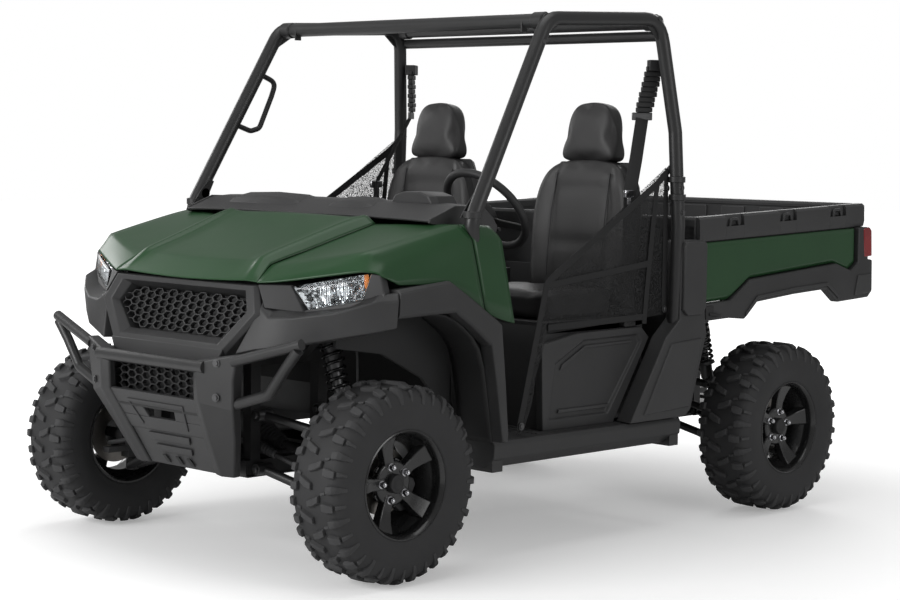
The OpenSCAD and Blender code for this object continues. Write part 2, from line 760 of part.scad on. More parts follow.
// Grille surround, and the bars that run under the headlamps to the flares
module front_fascia() {
    f = y_front;
    color("black") {
        nose_plane() difference() {
            plate_y(0, 60, [[-372, -4], [-430, -100], [-290, -245], [290, -245], [430, -100], [372, -4]]);
            plate_y(-1, 61, [[-305, -32], [-345, -95], [-245, -185], [245, -185], [345, -95], [305, -32]]);
        }
        both() loft([
            [[400, f - 262, 860], [400, f - 200, 860], [330, f - 210, 690], [330, f - 300, 700]],
            [[520, f - 180, 858], [510, f - 110, 858], [500, f - 160, 740], [510, f - 250, 745]],
            [[700, f - 90, 872], [660, f - 40, 872], [650, f - 70, 780], [705, f - 120, 775]],
            [[800, f - 13 - seam, 912], [745, f - 13 - seam, 912],
                [745, f - 13 - seam, 815], [800, f - 13 - seam, 812]]]);
    }
}

// Upper and lower honeycomb
module honeycomb(w, h, cell) {
    step = cell * 0.87;
    for (j = [0 : floor(h / step)]) for (i = [0 : floor(w / (cell * 1.5))])
        translate([-w / 2 + (i + 0.5 * (j % 2)) * cell * 1.5, j * step / 2 * 1.0])
            circle(d = cell * 0.86, $fn = 6);
}

module grilles() {
    color("black") {
        nose_plane() translate([0, 30, 0]) rotate([90, 0, 0]) linear_extrude(6) difference() {
            polygon([[-304, -33], [-344, -95], [-244.5, -184.5], [244.5, -184.5], [344, -95], [304, -33]]);
            intersection() {
                polygon([[-298, -40], [-334, -95], [-240, -178], [240, -178], [334, -95], [298, -40]]);
                translate([0, -180]) honeycomb(690, 240, 36);
            }
        }
        // lower opening, in front of the front posts
        translate([0, y_front - 165 - seam, 0]) rotate([90, 0, 0]) linear_extrude(6) difference() {
            polygon([[-262, 512], [-262, 668], [262, 668], [262, 512]]);
            intersection() {
                polygon([[-250, 522], [-250, 658], [250, 658], [250, 522]]);
                translate([0, 524]) honeycomb(500, 200, 36);
            }
        }
    }
}

module headlamps() {
    f = y_front;
    color("white") both() loft([
        [[486, f - 178, 932], [486, f - 128, 936], [530, f - 108, 872], [530, f - 156, 870]],
        [[724, f - 62, 985], [700, f - 20, 985], [680, f - 30, 888], [700, f - 72, 886]]]);
}

bumper_z = 674;
module front_bumper() {
    f = y_front;
    color("black") {
        bar([-290, f - 374, bumper_z], [290, f - 374, bumper_z], bumper_d);
        both() {
            loft([
                [[272, f - 395, 690], [400, f - 345, 722], [390, f - 290, 722], [262, f - 340, 690]],
                [[262, f - 395, 560], [385, f - 350, 560], [375, f - 300, 560], [252, f - 345, 560]],
                [[200, f - 250, 305], [262, f - 241, 300], [255, f - 190, 300], [190, f - 200, 305]]]);
            bent_tube([[392, f - 335, 700], [634, f - 293, 765], [507, f - 298, 600], [372, f - 330, 562]], bumper_d - 8, 36);
        }
        loft([
            [[-262, f - 372, 560], [262, f - 372, 560], [262, f - 345, 560], [-262, f - 345, 560]],
            [[-215, f - 235, 302], [215, f - 235, 302], [215, f - 205, 302], [-215, f - 205, 302]]]);
        both() block([rail_in, f - 300, rail_z], [rail_x, nose_y, rail_top]);
    }
}

// ---- Green body panels ----

// Half of the hood's section at each station: distance behind the front axle,
// then the height of the middle, and x and z of the rib's inside, its outside and the edge
hood_rows = [
    // dy, z mid, x in, z in, x out, z out, x edge, z edge
    [-232, 940, 290, 944, 340, 946, 374, 945],
    [-150, 1004, 285, 1010, 316, 1016, 345, 996],
    [-20, 1046, 300, 1052, 330, 1060, 360, 1036],
    [110, 1092, 318, 1098, 346, 1106, 378, 1078],
    [250, 1142, 338, 1146, 364, 1150, 400, 1122]];

function hood_row(r) = [
    [-r[6], y_front + r[0], r[7]], [-r[4], y_front + r[0], r[5]], [-r[2], y_front + r[0], r[3]],
    [0, y_front + r[0] - 8, r[1]],
    [r[2], y_front + r[0], r[3]], [r[4], y_front + r[0], r[5]], [r[6], y_front + r[0], r[7]]];

module hood() {
    color("darkgreen") difference() {
        union() {
            sheet([for (r = hood_rows) hood_row(r)], [0, 0, -skin_t]);
            both() {
                bar([200, hood_pin_y, hood_pin_z], [240, hood_pin_y, hood_pin_z], 2 * hood_pin_d);
                block([200, hood_pin_y - 13, hood_pin_z - 3], [240, hood_pin_y - 1, hood_pin_z + 1.5]);
            }
        }
        both() bar([199, hood_pin_y, hood_pin_z], [241, hood_pin_y, hood_pin_z], hood_pin_d + 0.6);
    }
}

// Fender at each station, from the hood's edge out over the ridge and down to the flare
fender_rows = [
    // each point is x, y behind the front axle, z
    [[560, -150, 968], [728, -66, 990], [742, -60, 985], [750, -54, 978]],
    [[540, -90, 1020], [696, -38, 1050], [732, 0, 1000], [764, -5, 950]],
    [[540, 60, 1058], [702, 110, 1086], [740, 120, 1030], [776, 120, 955]],
    [[540, 200, 1095], [712, 250, 1112], [745, 260, 1062], [784, 250, 948]],
    [[550, 290, 1124], [716, 332, 1128], [748, 360, 1084], [786, 400, 880]],
    [[560, 310, 1124], [712, 470, 1124], [744, 500, 1094], [786, 520, 800]]];

// The fender's inner edge runs along the hood's edge; its last row is a little behind the hood
function fender_inner(i) = let (r = hood_rows[min(i, len(hood_rows) - 1)])
    [r[6] + skin_t + seam + (i < len(hood_rows) ? 0 : 18), r[0] + (i < len(hood_rows) ? 0 : 6), r[7]];

module fenders() {
    rows = [for (i = [0 : len(fender_rows) - 1]) concat([fender_inner(i)], fender_rows[i])];
    color("darkgreen") both() difference() {
        sheet([for (row = rows) [for (p = row) p + [0, y_front, 0]]], [-skin_t, 0, -skin_t]);
        pillar_holes();
    }
}

// Black arch over each front wheel, down to the sill
module flares() {
    f = y_front;
    color("black") both() {
        plate_x(742, flare_x, [[f - 13, 925], [f + 213, 945], [f + 448, 800], [f + 485, 430], [f + 480, sill_top + seam],
            [f + 462, sill_top + seam], [f + 462, 430], [f + 403, 735], [f + 248, 846], [f - 13, 842]]);
        plate_x(floor_x + seam, 742, [[f - 13, 842], [f + 248, 846], [f + 403, 735], [f + 430, 600], [f + 434, 600],
            [f + 408, 738], [f + 250, 851], [f - 13, 847]]);
    }
}

// ---- Bed, drawn level and then sloped about its front lower edge ----

module bed_place() {
    translate([0, bed_y0, bed_under_z]) rotate([bed_rise, 0, 0]) translate([0, -bed_y0, -bed_under_z])
        children();
}

band_h = 94;                                // height of the rails' outer band
bed_side_x = bed_x - 20;
module bed_box() {
    y0 = bed_y0;
    y1 = bed_y1;
    gate_y0 = gate_hinge_y - gate_t + 10;
    color("black") bed_place() {
        difference() {
            union() {
                block([-bed_side_x, y0, bed_under_z], [bed_side_x, y1, bed_top_z - band_h]);
                block([-bed_x, y0, bed_top_z - band_h], [bed_x, y1, bed_top_z]);
            }
            block([-bed_side_x + bed_wall, y0 + bed_wall, bed_floor_z], [bed_side_x - bed_wall, y1 + 1, bed_top_z + 1]);
            block([-bed_side_x + bed_wall, gate_y0 - gate_gap, bed_under_z - 1], [bed_side_x - bed_wall, y1 + 1, bed_top_z]);
            both() bar([bed_side_x - bed_wall - 1, gate_hinge_y, gate_hinge_z],
                [bed_side_x - bed_wall + 14, gate_hinge_y, gate_hinge_z], 16 + 2 * run_gap);
        }
        // rear corner posts and the black skirts around the rear wheels
        both() difference() {
            plate_x(bed_side_x, bed_x + 20, [
                [y0, 745], [y0 + 160, 745], [y0 + 254, 733], [y0 + 333, 791], [y0 + 571, 802],
                [y0 + 785, 805], [y0 + 863, 747], [y1 + 1, 750], [y1 + 30, 775], [y1 + 30, 900],
                [y1, 905], [y1, bed_top_z - band_h], [y1 - 68, bed_top_z - band_h], [y1 - 71, 892],
                [y1 - 119, 866], [y1 - 218, 901], [y0 + 291, 880], [y0 + 275, 870], [y0 + 167, 811],
                [y0, 809]]);
        }
        // pivot ears under the floor
        both() difference() {
            plate_x(rail_x - 12 - seam - 14, rail_x - 12 - seam, [
                [bed_pivot_y - 40, bed_under_z + 1], [bed_pivot_y - 22, bed_pivot_z - 22],
                [bed_pivot_y + 22, bed_pivot_z - 22], [bed_pivot_y + 40, bed_under_z + 1]]);
            bar([rail_x - 40, bed_pivot_y, bed_pivot_z], [rail_x, bed_pivot_y, bed_pivot_z],
                bed_pin_d + 2 * run_gap);
        }
    }
}

module bed_panels() {
    y0 = bed_y0;
    y1 = bed_y1;
    s = seam;
    color("darkgreen") bed_place() both()
        plate_x(bed_side_x + s, bed_x + 6, [
            [y0, 809 + s], [y0 + 167, 811 + s], [y0 + 275, 870 + s], [y0 + 291, 880 + s],
            [y1 - 218, 901 + s], [y1 - 119, 866 + s], [y1 - 71 - s, 892 + s],
            [y1 - 68 - s, bed_top_z - band_h - s], [y0, bed_top_z - band_h - s]]);
}

module tailgate() {
    x = bed_side_x - bed_wall - 4;
    y0 = gate_hinge_y - gate_t + 10;
    color("black") bed_place() {
        block([-x, y0, bed_floor_z + 4], [x, y0 + gate_t, bed_top_z]);
        both() bar([x - 1, gate_hinge_y, gate_hinge_z], [x + 14, gate_hinge_y, gate_hinge_z], 16);
    }
}

// ---- Restraints ----

// A flat strap from a to b, its width w along Y and its thickness t along X
module strap(a, b, w, t) {
    hull() {
        translate(a) cube([t, w, 1], center = true);
        translate(b) cube([t, w, 1], center = true);
    }
}

module seat_belts() {
    c = cab_rear_y;
    color("black") both() {
        block([618, c - 40, 1660], [660, c + 10, 1700]);
        strap([630, c - 20, 1660], [604, c - 50, 1500], 48, 5);
        strap([604, c - 50, 1500], [662, c - 180, 1235], 48, 5);
        strap([662, c - 180, 1235], [666, c - 190, 800], 48, 5);
        block([660, c - 214, 741 + run_gap], [676, c - 166, 800]);
    }
}

module side_nets() {
    c = cab_rear_y;
    color("black") both()
        plate_x(700, 703, [[c - 30, 1315], [c - 663, 925], [c - 800, sill_top + seam],
            [c - 762, sill_top + seam], [c - 660, 745], [c - 128, 748], [c - 30, 780]]);
}

frame_rails();
crossmembers();
subframes();
skid_plate();
engine();
muffler();
front_drive();
rear_drive();
front_arms();
rear_arms();
front_shocks();
rear_shocks();
rear_uprights();
cab_floor();
sills();
seat_base();
quarter_panels();
seat_cushions();
seat_backs();
roll_cage();
dash();
controls();
front_fascia();
grilles();
headlamps();
front_bumper();
fenders();
flares();
seat_belts();
side_nets();
hood();
bed_box();
bed_panels();
tailgate();
steering_wheel();
knuckle_left();
knuckle_right();
rim_front_left();
rim_front_right();
rim_rear_left();
rim_rear_right();
tyre_front_left();
tyre_front_right();
tyre_rear_left();
tyre_rear_right();
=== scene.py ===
import json
import math
from math import cos, pi, radians, sin

import bmesh
import bpy
from mathutils import Matrix, Vector


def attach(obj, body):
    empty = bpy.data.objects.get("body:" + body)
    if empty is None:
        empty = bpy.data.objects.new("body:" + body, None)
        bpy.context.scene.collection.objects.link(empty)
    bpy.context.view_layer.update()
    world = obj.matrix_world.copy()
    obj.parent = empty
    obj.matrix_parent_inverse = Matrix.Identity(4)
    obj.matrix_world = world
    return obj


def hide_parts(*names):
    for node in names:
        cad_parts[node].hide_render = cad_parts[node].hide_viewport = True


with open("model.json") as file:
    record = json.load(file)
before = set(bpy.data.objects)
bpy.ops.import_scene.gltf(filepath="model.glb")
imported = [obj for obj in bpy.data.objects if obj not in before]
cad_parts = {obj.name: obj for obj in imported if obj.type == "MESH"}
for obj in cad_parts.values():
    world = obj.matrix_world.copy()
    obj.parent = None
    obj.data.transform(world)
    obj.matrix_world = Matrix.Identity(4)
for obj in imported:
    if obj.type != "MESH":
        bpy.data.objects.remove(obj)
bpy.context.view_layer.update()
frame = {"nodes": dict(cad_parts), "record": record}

NODES = frame["nodes"]

# Stations of the CAD frame, in metres
YF, YR, AXLE = -1.145, 0.885, 0.322
WHEEL_X, KING_X = 0.720, 0.610
FIREWALL = YF + 0.410
CAB_REAR = YR - 0.598
BED_Y0, BED_Y1, BED_UNDER = YR - 0.441, YR + 0.634, 0.824
BED_RISE = radians(2)
SEAT_X, STEER_X = 0.405, 0.395
POST_R = 0.025  # radius of the cage's main tube

# ---------------------------------------------------------------- camera, world and lights

YAW, PITCH, ROLL = radians(44.904), radians(-4.514), radians(0.738)
look = Vector((-sin(YAW) * cos(PITCH), cos(YAW) * cos(PITCH), sin(PITCH)))
side = look.cross(Vector((0, 0, 1))).normalized()
up = side.cross(look)
right = side * cos(ROLL) + up * sin(ROLL)
upper = up * cos(ROLL) - side * sin(ROLL)
cam = bpy.data.objects.new("camera", bpy.data.cameras.new("camera"))
bpy.context.scene.collection.objects.link(cam)
cam.data.sensor_width = 36
cam.data.lens = 83.2
cam.data.clip_end = 60
cam.matrix_world = Matrix.Translation((5.470, -5.625, 1.417)) @ Matrix(
    (right, upper, -look)).transposed().to_4x4()
bpy.context.scene.camera = cam
bpy.context.scene.view_settings.view_transform = "Standard"


def nodes_of(m):
    """The node tree of a material and its shader."""
    m.use_nodes = True
    nt = m.node_tree
    return nt, nt.nodes["Principled BSDF"]


def add(nt, kind, **values):
    """A new node with its inputs or settings filled in."""
    n = nt.nodes.new(kind)
    for k, v in values.items():
        if k in n.inputs:
            n.inputs[k].default_value = v
        else:
            setattr(n, k, v)
    return n


world = bpy.data.worlds.new("studio")
bpy.context.scene.world = world
world.use_nodes = True
wn = world.node_tree
back = wn.nodes["Background"]
back.inputs[0].default_value = (1, 1, 1, 1)
paths = wn.nodes.new("ShaderNodeLightPath")
reach = wn.nodes.new("ShaderNodeMath")
reach.operation = "MAXIMUM"
wn.links.new(paths.outputs["Is Camera Ray"], reach.inputs[0])
wn.links.new(paths.outputs["Is Transmission Ray"], reach.inputs[1])
level = wn.nodes.new("ShaderNodeMapRange")
level.inputs["To Min"].default_value = 0.30
level.inputs["To Max"].default_value = 1.0
wn.links.new(reach.outputs[0], level.inputs["Value"])
wn.links.new(level.outputs[0], back.inputs[1])


def area_light(name, where, aim, size, power):
    """A rectangular light that looks at a point."""
    data = bpy.data.lights.new(name, "AREA")
    data.shape = "RECTANGLE"
    data.size, data.size_y = size
    data.energy = power
    o = bpy.data.objects.new(name, data)
    bpy.context.scene.collection.objects.link(o)
    o.location = where
    o.rotation_euler = (Vector(aim) - Vector(where)).to_track_quat("-Z", "Y").to_euler()


area_light("key", (-0.8, -6.8, 2.9), (0, -1.0, 0.7), (3.4, 2.4), 235)
area_light("top", (0.0, -0.5, 6.0), (0, -0.2, 0.7), (5.0, 4.0), 95)
area_light("side", (6.8, 0.5, 3.0), (0, 0, 0.8), (3.5, 2.2), 75)
area_light("rear", (-3.0, 5.5, 3.6), (0, 0, 0.8), (3.6, 2.2), 90)
area_light("left", (-5.5, -1.0, 2.8), (0, -0.2, 0.8), (3.0, 2.0), 60)


# ---------------------------------------------------------------- materials

def surface(name, color, rough, metal=0.0, vary=0.12, grain=None, second=None, painted_edge_highlight=0.0, **extra):
    """A material with colour variation, grain as (kind, scale, strength, distance) and a painted highlight
    that makes sharp edges lighter.
    """
    m = bpy.data.materials.new(name)
    nt, b = nodes_of(m)
    link = nt.links.new
    b.inputs["Metallic"].default_value = metal
    for k, v in extra.items():
        b.inputs[k.replace("_", " ")].default_value = v
    where = nt.nodes.new("ShaderNodeTexCoord")
    clouds = add(nt, "ShaderNodeTexNoise", Scale=7.0, Detail=6.0, Roughness=0.6)
    link(where.outputs["Object"], clouds.inputs["Vector"])
    low = tuple(c * (1 - vary) for c in color)
    high = tuple(min(1, c * (1 + vary)) for c in color)
    ramp = nt.nodes.new("ShaderNodeValToRGB")
    ramp.color_ramp.elements[0].position = 0.3
    ramp.color_ramp.elements[1].position = 0.7
    ramp.color_ramp.elements[0].color = (*low, 1)
    ramp.color_ramp.elements[1].color = (*high, 1)
    link(clouds.outputs["Fac"], ramp.inputs["Fac"])
    colour = ramp.outputs["Color"]
    # painted highlight: where Pointiness marks a sharp convex edge, the colour is mixed towards a lighter
    # copy of itself
    if painted_edge_highlight:
        geo = nt.nodes.new("ShaderNodeNewGeometry")
        edge = add(nt, "ShaderNodeMapRange", clamp=True)
        edge.inputs["From Min"].default_value = 0.52
        edge.inputs["From Max"].default_value = 0.62
        link(geo.outputs["Pointiness"], edge.inputs["Value"])
        painted_highlight_amount = add(nt, "ShaderNodeMath", operation="MULTIPLY")
        painted_highlight_amount.inputs[1].default_value = painted_edge_highlight
        link(edge.outputs[0], painted_highlight_amount.inputs[0])
        mix = add(nt, "ShaderNodeMix", data_type="RGBA")
        link(painted_highlight_amount.outputs[0], mix.inputs["Factor"])
        link(colour, mix.inputs[6])
        mix.inputs[7].default_value = (*[min(1, c * 2.4 + 0.05) for c in color], 1)
        colour = mix.outputs[2]
    link(colour, b.inputs["Base Color"])
    spread = add(nt, "ShaderNodeMapRange")
    spread.inputs["To Min"].default_value = max(0.02, rough - 0.06)
    spread.inputs["To Max"].default_value = min(1, rough + 0.06)
    link(clouds.outputs["Fac"], spread.inputs["Value"])
    link(spread.outputs[0], b.inputs["Roughness"])
    normal = None
    for kind, scale, strength, reach in [g for g in (grain, second) if g]:
        if kind == "voronoi":
            tex = add(nt, "ShaderNodeTexVoronoi", Scale=scale)
            out = tex.outputs["Distance"]
        elif kind == "wave":
            tex = add(nt, "ShaderNodeTexWave", Scale=scale)
            out = tex.outputs["Fac"]
        else:
            tex = add(nt, "ShaderNodeTexNoise", Scale=scale, Detail=3.0)
            out = tex.outputs["Fac"]
        link(where.outputs["Object"], tex.inputs["Vector"])
        bump = add(nt, "ShaderNodeBump", Strength=strength, Distance=reach)
        link(out, bump.inputs["Height"])
        if normal:
            link(normal, bump.inputs["Normal"])
        normal = bump.outputs["Normal"]
    if normal:
        link(normal, b.inputs["Normal"])
    return m


# the edge amount given to some of these materials sets the strength of a painted highlight on their sharp
# edges
GREEN = surface("green_paint", (0.019, 0.064, 0.0235), 0.36, vary=0.05, grain=("noise", 900, 0.04, 0.0004),
                second=("noise", 5, 0.03, 0.002), Coat_Weight=0.15, Coat_Roughness=0.2,
                Specular_IOR_Level=0.26)
PLASTIC = surface("black_plastic", (0.026, 0.026, 0.0268), 0.52, vary=0.14,
    grain=("noise", 700, 0.35, 0.0006), second=("voronoi", 420, 0.12, 0.0004), painted_edge_highlight=0.25)
DARK = surface("dark_plastic", (0.014, 0.014, 0.0145), 0.6, grain=("noise", 650, 0.3, 0.0005))
FRAME = surface("frame_coat", (0.013, 0.013, 0.0135), 0.42, vary=0.2,
    grain=("noise", 350, 0.15, 0.0004), painted_edge_highlight=0.15)
CAGE = surface("cage_coat", (0.021, 0.021, 0.0215), 0.38, vary=0.1, grain=("noise", 520, 0.14, 0.0003),
    painted_edge_highlight=0.1)
CAST = surface("cast_iron", (0.045, 0.045, 0.046), 0.55, metal=0.6, vary=0.3,
    grain=("noise", 240, 0.4, 0.0008), painted_edge_highlight=0.4)
ALLOY = surface("engine_alloy", (0.16, 0.16, 0.165), 0.48, metal=0.8, vary=0.2,
    grain=("noise", 260, 0.35, 0.0007))
STEEL = surface("exhaust_steel", (0.33, 0.31, 0.29), 0.36, metal=1.0, vary=0.2,
    grain=("noise", 180, 0.08, 0.0004))
CHROME = surface("bright_steel", (0.62, 0.62, 0.64), 0.14, metal=1.0, vary=0.06,
    grain=("noise", 300, 0.03, 0.0003))
ZINC = surface("bolt_zinc", (0.11, 0.11, 0.112), 0.4, metal=0.8, vary=0.15,
    grain=("noise", 400, 0.2, 0.0003))
GLOSS = surface("rim_paint", (0.0085, 0.0085, 0.0088), 0.27, vary=0.12, grain=("noise", 420, 0.06, 0.0003),
                painted_edge_highlight=0.12, Coat_Weight=0.35, Coat_Roughness=0.15)
SHOCK = surface("spring_paint", (0.010, 0.010, 0.0105), 0.22, vary=0.1, grain=("noise", 300, 0.05, 0.0003))
RUBBER = surface("tyre_rubber", (0.0235, 0.0235, 0.0245), 0.72, vary=0.18,
    grain=("noise", 330, 0.4, 0.0009), second=("noise", 60, 0.12, 0.002), painted_edge_highlight=0.3)
VINYL = surface("seat_vinyl", (0.0215, 0.0210, 0.0215), 0.47, vary=0.08,
    grain=("voronoi", 620, 0.35, 0.0007), second=("noise", 34, 0.12, 0.003), painted_edge_highlight=0.1)
WEB = surface("belt_webbing", (0.012, 0.012, 0.0125), 0.8, vary=0.1, grain=("wave", 260, 0.5, 0.0006),
              second=("noise", 500, 0.3, 0.0004))
GRIP = surface("wheel_grip", (0.016, 0.016, 0.0165), 0.55, vary=0.1, grain=("voronoi", 520, 0.3, 0.0005))
STITCH = surface("stitching", (0.05, 0.05, 0.052), 0.7, grain=("wave", 600, 0.6, 0.0005))
AMBER = surface("amber_lens", (0.75, 0.22, 0.03), 0.15, grain=("wave", 90, 0.3, 0.001))
RED = surface("red_lens", (0.24, 0.008, 0.010), 0.16, vary=0.2, grain=("voronoi", 160, 0.3, 0.0012),
              Coat_Weight=0.6, Coat_Roughness=0.06)
SILVER = surface("lamp_reflector", (0.78, 0.79, 0.80), 0.12, metal=1.0, vary=0.1,
    grain=("voronoi", 60, 0.6, 0.006), second=("wave", 30, 0.3, 0.003))
GAUGE = surface("gauge_face", (0.004, 0.005, 0.006), 0.1, grain=("noise", 120, 0.02, 0.0002))
LENS = surface("lamp_lens", (0.92, 0.94, 0.95), 0.05, vary=0.02, grain=("wave", 26, 0.06, 0.001),
               Transmission_Weight=1.0, IOR=1.25)
NET = surface("net_mesh", (0.012, 0.012, 0.0125), 0.75, vary=0.15, grain=("noise", 400, 0.4, 0.0006))


def holes_in(m, scale, size):
    """Open holes in a staggered grid, by the material's alpha."""
    nt = m.node_tree
    b = nt.nodes["Principled BSDF"]
    tex = nt.nodes.new("ShaderNodeTexCoord")
    voro = add(nt, "ShaderNodeTexVoronoi", Scale=scale, feature="DISTANCE_TO_EDGE")
    cut = add(nt, "ShaderNodeMath", operation="LESS_THAN")
    cut.inputs[1].default_value = size
    nt.links.new(tex.outputs["Object"], voro.inputs["Vector"])
    nt.links.new(voro.outputs["Distance"], cut.inputs[0])
    nt.links.new(cut.outputs[0], b.inputs["Alpha"])


FLOOR = surface("floor", (0.86, 0.86, 0.86), 0.75, vary=0.01, grain=("noise", 30, 0.02, 0.001))
nt, b = nodes_of(FLOOR)
lp = nt.nodes.new("ShaderNodeLightPath")
glow = add(nt, "ShaderNodeMath", operation="MULTIPLY")
spot = nt.nodes.new("ShaderNodeNewGeometry")
away = add(nt, "ShaderNodeVectorMath", operation="LENGTH")
nt.links.new(spot.outputs["Position"], away.inputs[0])
fade = add(nt, "ShaderNodeMapRange", interpolation_type="SMOOTHSTEP")
for k, v in (("From Min", 1.0), ("From Max", 5.0), ("To Min", 0.30), ("To Max", 1.0)):
    fade.inputs[k].default_value = v
nt.links.new(away.outputs["Value"], fade.inputs["Value"])
nt.links.new(fade.outputs[0], glow.inputs[1])
nt.links.new(lp.outputs["Is Camera Ray"], glow.inputs[0])
b.inputs["Emission Color"].default_value = (1, 1, 1, 1)
nt.links.new(glow.outputs[0], b.inputs["Emission Strength"])

SLOTS = {"frame_black": FRAME, "black_plastic": PLASTIC, "body_green": GREEN, "cage_black": CAGE,
         "bare_grey": CAST, "engine_grey": ALLOY, "exhaust_steel": STEEL, "shock_black": SHOCK,
         "seat_vinyl": VINYL, "lamp_clear": LENS, "webbing": WEB, "net_mesh": NET, "rim_black": GLOSS,
         "tyre_rubber": RUBBER, "wheel_grip": GRIP}
for part in frame["record"]["subparts"]:
    o = NODES[part["node"]]
    o.data.materials.clear()
    o.data.materials.append(SLOTS[part["material_slot"]])
for n in ("engine", "cab_floor", "crossmembers"):
    NODES[n].data.materials[0] = DARK if n == "cab_floor" else FRAME

# ---------------------------------------------------------------- mesh helpers


def piece(name, verts, faces, mat, body="chassis", slot="black_plastic", smooth=None, bevel=0.0,
          segments=2, subsurf=0, solid=0.0, replaces=(), mirror=False):
    """A mesh piece on a body. With mirror, both sides are one piece."""
    me = bpy.data.meshes.new(name)
    me.from_pydata([tuple(v) for v in verts], [], faces)
    me.materials.append(mat)
    bm = bmesh.new()
    bm.from_mesh(me)
    if mirror:
        twin = bmesh.ops.duplicate(bm, geom=bm.verts[:] + bm.edges[:] + bm.faces[:])["geom"]
        for v in twin:
            if isinstance(v, bmesh.types.BMVert):
                v.co.x = -v.co.x
        bmesh.ops.reverse_faces(bm, faces=[f for f in twin if isinstance(f, bmesh.types.BMFace)])
    if not solid:
        bmesh.ops.recalc_face_normals(bm, faces=bm.faces[:])
    bm.to_mesh(me)
    bm.free()
    o = bpy.data.objects.new(name, me)
    bpy.context.scene.collection.objects.link(o)
    if solid:
        s = o.modifiers.new("solid", "SOLIDIFY")
        s.thickness = solid
        s.offset = -1
    if bevel:
        bv = o.modifiers.new("bevel", "BEVEL")
        bv.width = bevel
        bv.segments = segments
        bv.limit_method = "ANGLE"
        bv.angle_limit = radians(28)
    if subsurf:
        ss = o.modifiers.new("smooth", "SUBSURF")
        ss.levels = ss.render_levels = subsurf
    angle = smooth if smooth is not None else 35
    for f in me.polygons:
        f.use_smooth = angle > 0
    if angle and not subsurf:
        me.set_sharp_from_angle(angle=radians(angle))
    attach(o, body)
    if replaces:
        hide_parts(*replaces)
    return o


def prism(outline, axis, lo, hi):
    """Vertices and faces of an extruded outline. Along X it is [y, z], along Y [x, z], along Z [x, y]."""
    def at(p, t):
        return {"x": (t, p[0], p[1]), "y": (p[0], t, p[1]), "z": (p[0], p[1], t)}[axis]
    n = len(outline)
    v = [at(p, lo) for p in outline] + [at(p, hi) for p in outline]
    f = [[i, (i + 1) % n, n + (i + 1) % n, n + i] for i in range(n)]
    return v, f + [list(range(n - 1, -1, -1)), list(range(n, 2 * n))]


def joined(*shapes):
    """Several shapes as one list of vertices and faces."""
    verts, faces = [], []
    for v, f in shapes:
        k = len(verts)
        verts += [tuple(p) for p in v]
        faces += [[i + k for i in face] for face in f]
    return verts, faces


def box(a, b):
    """A block between two opposite corners."""
    return prism([(a[0], a[1]), (b[0], a[1]), (b[0], b[1]), (a[0], b[1])], "z", a[2], b[2])


def moved(shape, m):
    """A shape under a matrix."""
    return [m @ Vector(p) for p in shape[0]], shape[1]


def twin(shape):
    """The shape and its mirror image across the centre plane."""
    v, f = shape
    return joined(shape, ([(-p[0], p[1], p[2]) for p in v], [face[::-1] for face in f]))


def loft(sections, closed=True):
    """A skin through rings of as many points each."""
    n = len(sections[0])
    v = [p for s in sections for p in s]
    f = [[i * n + j, i * n + (j + 1) % n, (i + 1) * n + (j + 1) % n, (i + 1) * n + j]
         for i in range(len(sections) - 1) for j in range(n if closed else n - 1)]
    if closed:
        f += [list(range(n - 1, -1, -1)), list(range((len(sections) - 1) * n, len(sections) * n))]
    return v, f


def rounded(pts, r, steps=6):
    """The points with each corner rounded to radius r."""
    out = [Vector(pts[0])]
    for a, b, c in zip(pts, pts[1:], pts[2:]):
        a, b, c = Vector(a), Vector(b), Vector(c)
        u, v = (b - a).normalized(), (c - b).normalized()
        turn = u.angle(v)
        if turn < 0.02:
            out.append(b)
            continue
        t = min(r * math.tan(turn / 2), (b - a).length * 0.48, (c - b).length * 0.48)
        p, q = b - u * t, b + v * t
        for k in range(steps + 1):
            s = k / steps
            out.append(p * (1 - s) ** 2 + b * 2 * s * (1 - s) + q * s * s)
    return out + [Vector(pts[-1])]


def tube(pts, r, sides=20, bend=0.0, flat=None):
    """A swept tube along pts. With flat=(w, t) it is a strap instead."""
    path = rounded(pts, bend) if bend else [Vector(p) for p in pts]
    dirs = [(path[min(i + 1, len(path) - 1)] - path[max(i - 1, 0)]).normalized() for i in range(len(path))]
    n = dirs[0].cross(Vector((0.31, 0.52, 0.8)) if flat is None else Vector(flat[2])).normalized()
    rings = []
    for p, d in zip(path, dirs):
        n = (n - d * n.dot(d)).normalized()
        s = d.cross(n)
        if flat:
            w, t = flat[0] / 2, flat[1] / 2
            rings.append([p + n * a * w + s * c * t for a, c in
                          ((-1, -0.5), (-0.92, -1), (0.92, -1), (1, -0.5), (1, 0.5), (0.92, 1),
                              (-0.92, 1), (-1, 0.5))])
        else:
            rings.append([p + (n * cos(a) + s * sin(a)) * r for a in
                          [2 * pi * k / sides for k in range(sides)]])
    return loft(rings)


def lathe(profile, axis, centre, sides=48):
    """A turned shape: the profile is (distance along the axis, radius)."""
    c = Vector(centre)
    rings = []
    for k in range(sides):
        a = 2 * pi * k / sides
        for d, r in profile:
            p = {"x": (d, r * sin(a), r * cos(a)), "y": (r * cos(a), d, r * sin(a)),
                 "z": (r * cos(a), r * sin(a), d)}[axis]
            rings.append(c + Vector(p))
    n = len(profile)
    f = [[k * n + j, ((k + 1) % sides) * n + j, ((k + 1) % sides) * n + j + 1, k * n + j + 1]
         for k in range(sides) for j in range(n - 1)]
    if profile[0] == profile[-1]:
        return rings, f
    return rings, f + [[k * n for k in range(sides)][::-1], [k * n + n - 1 for k in range(sides)]]


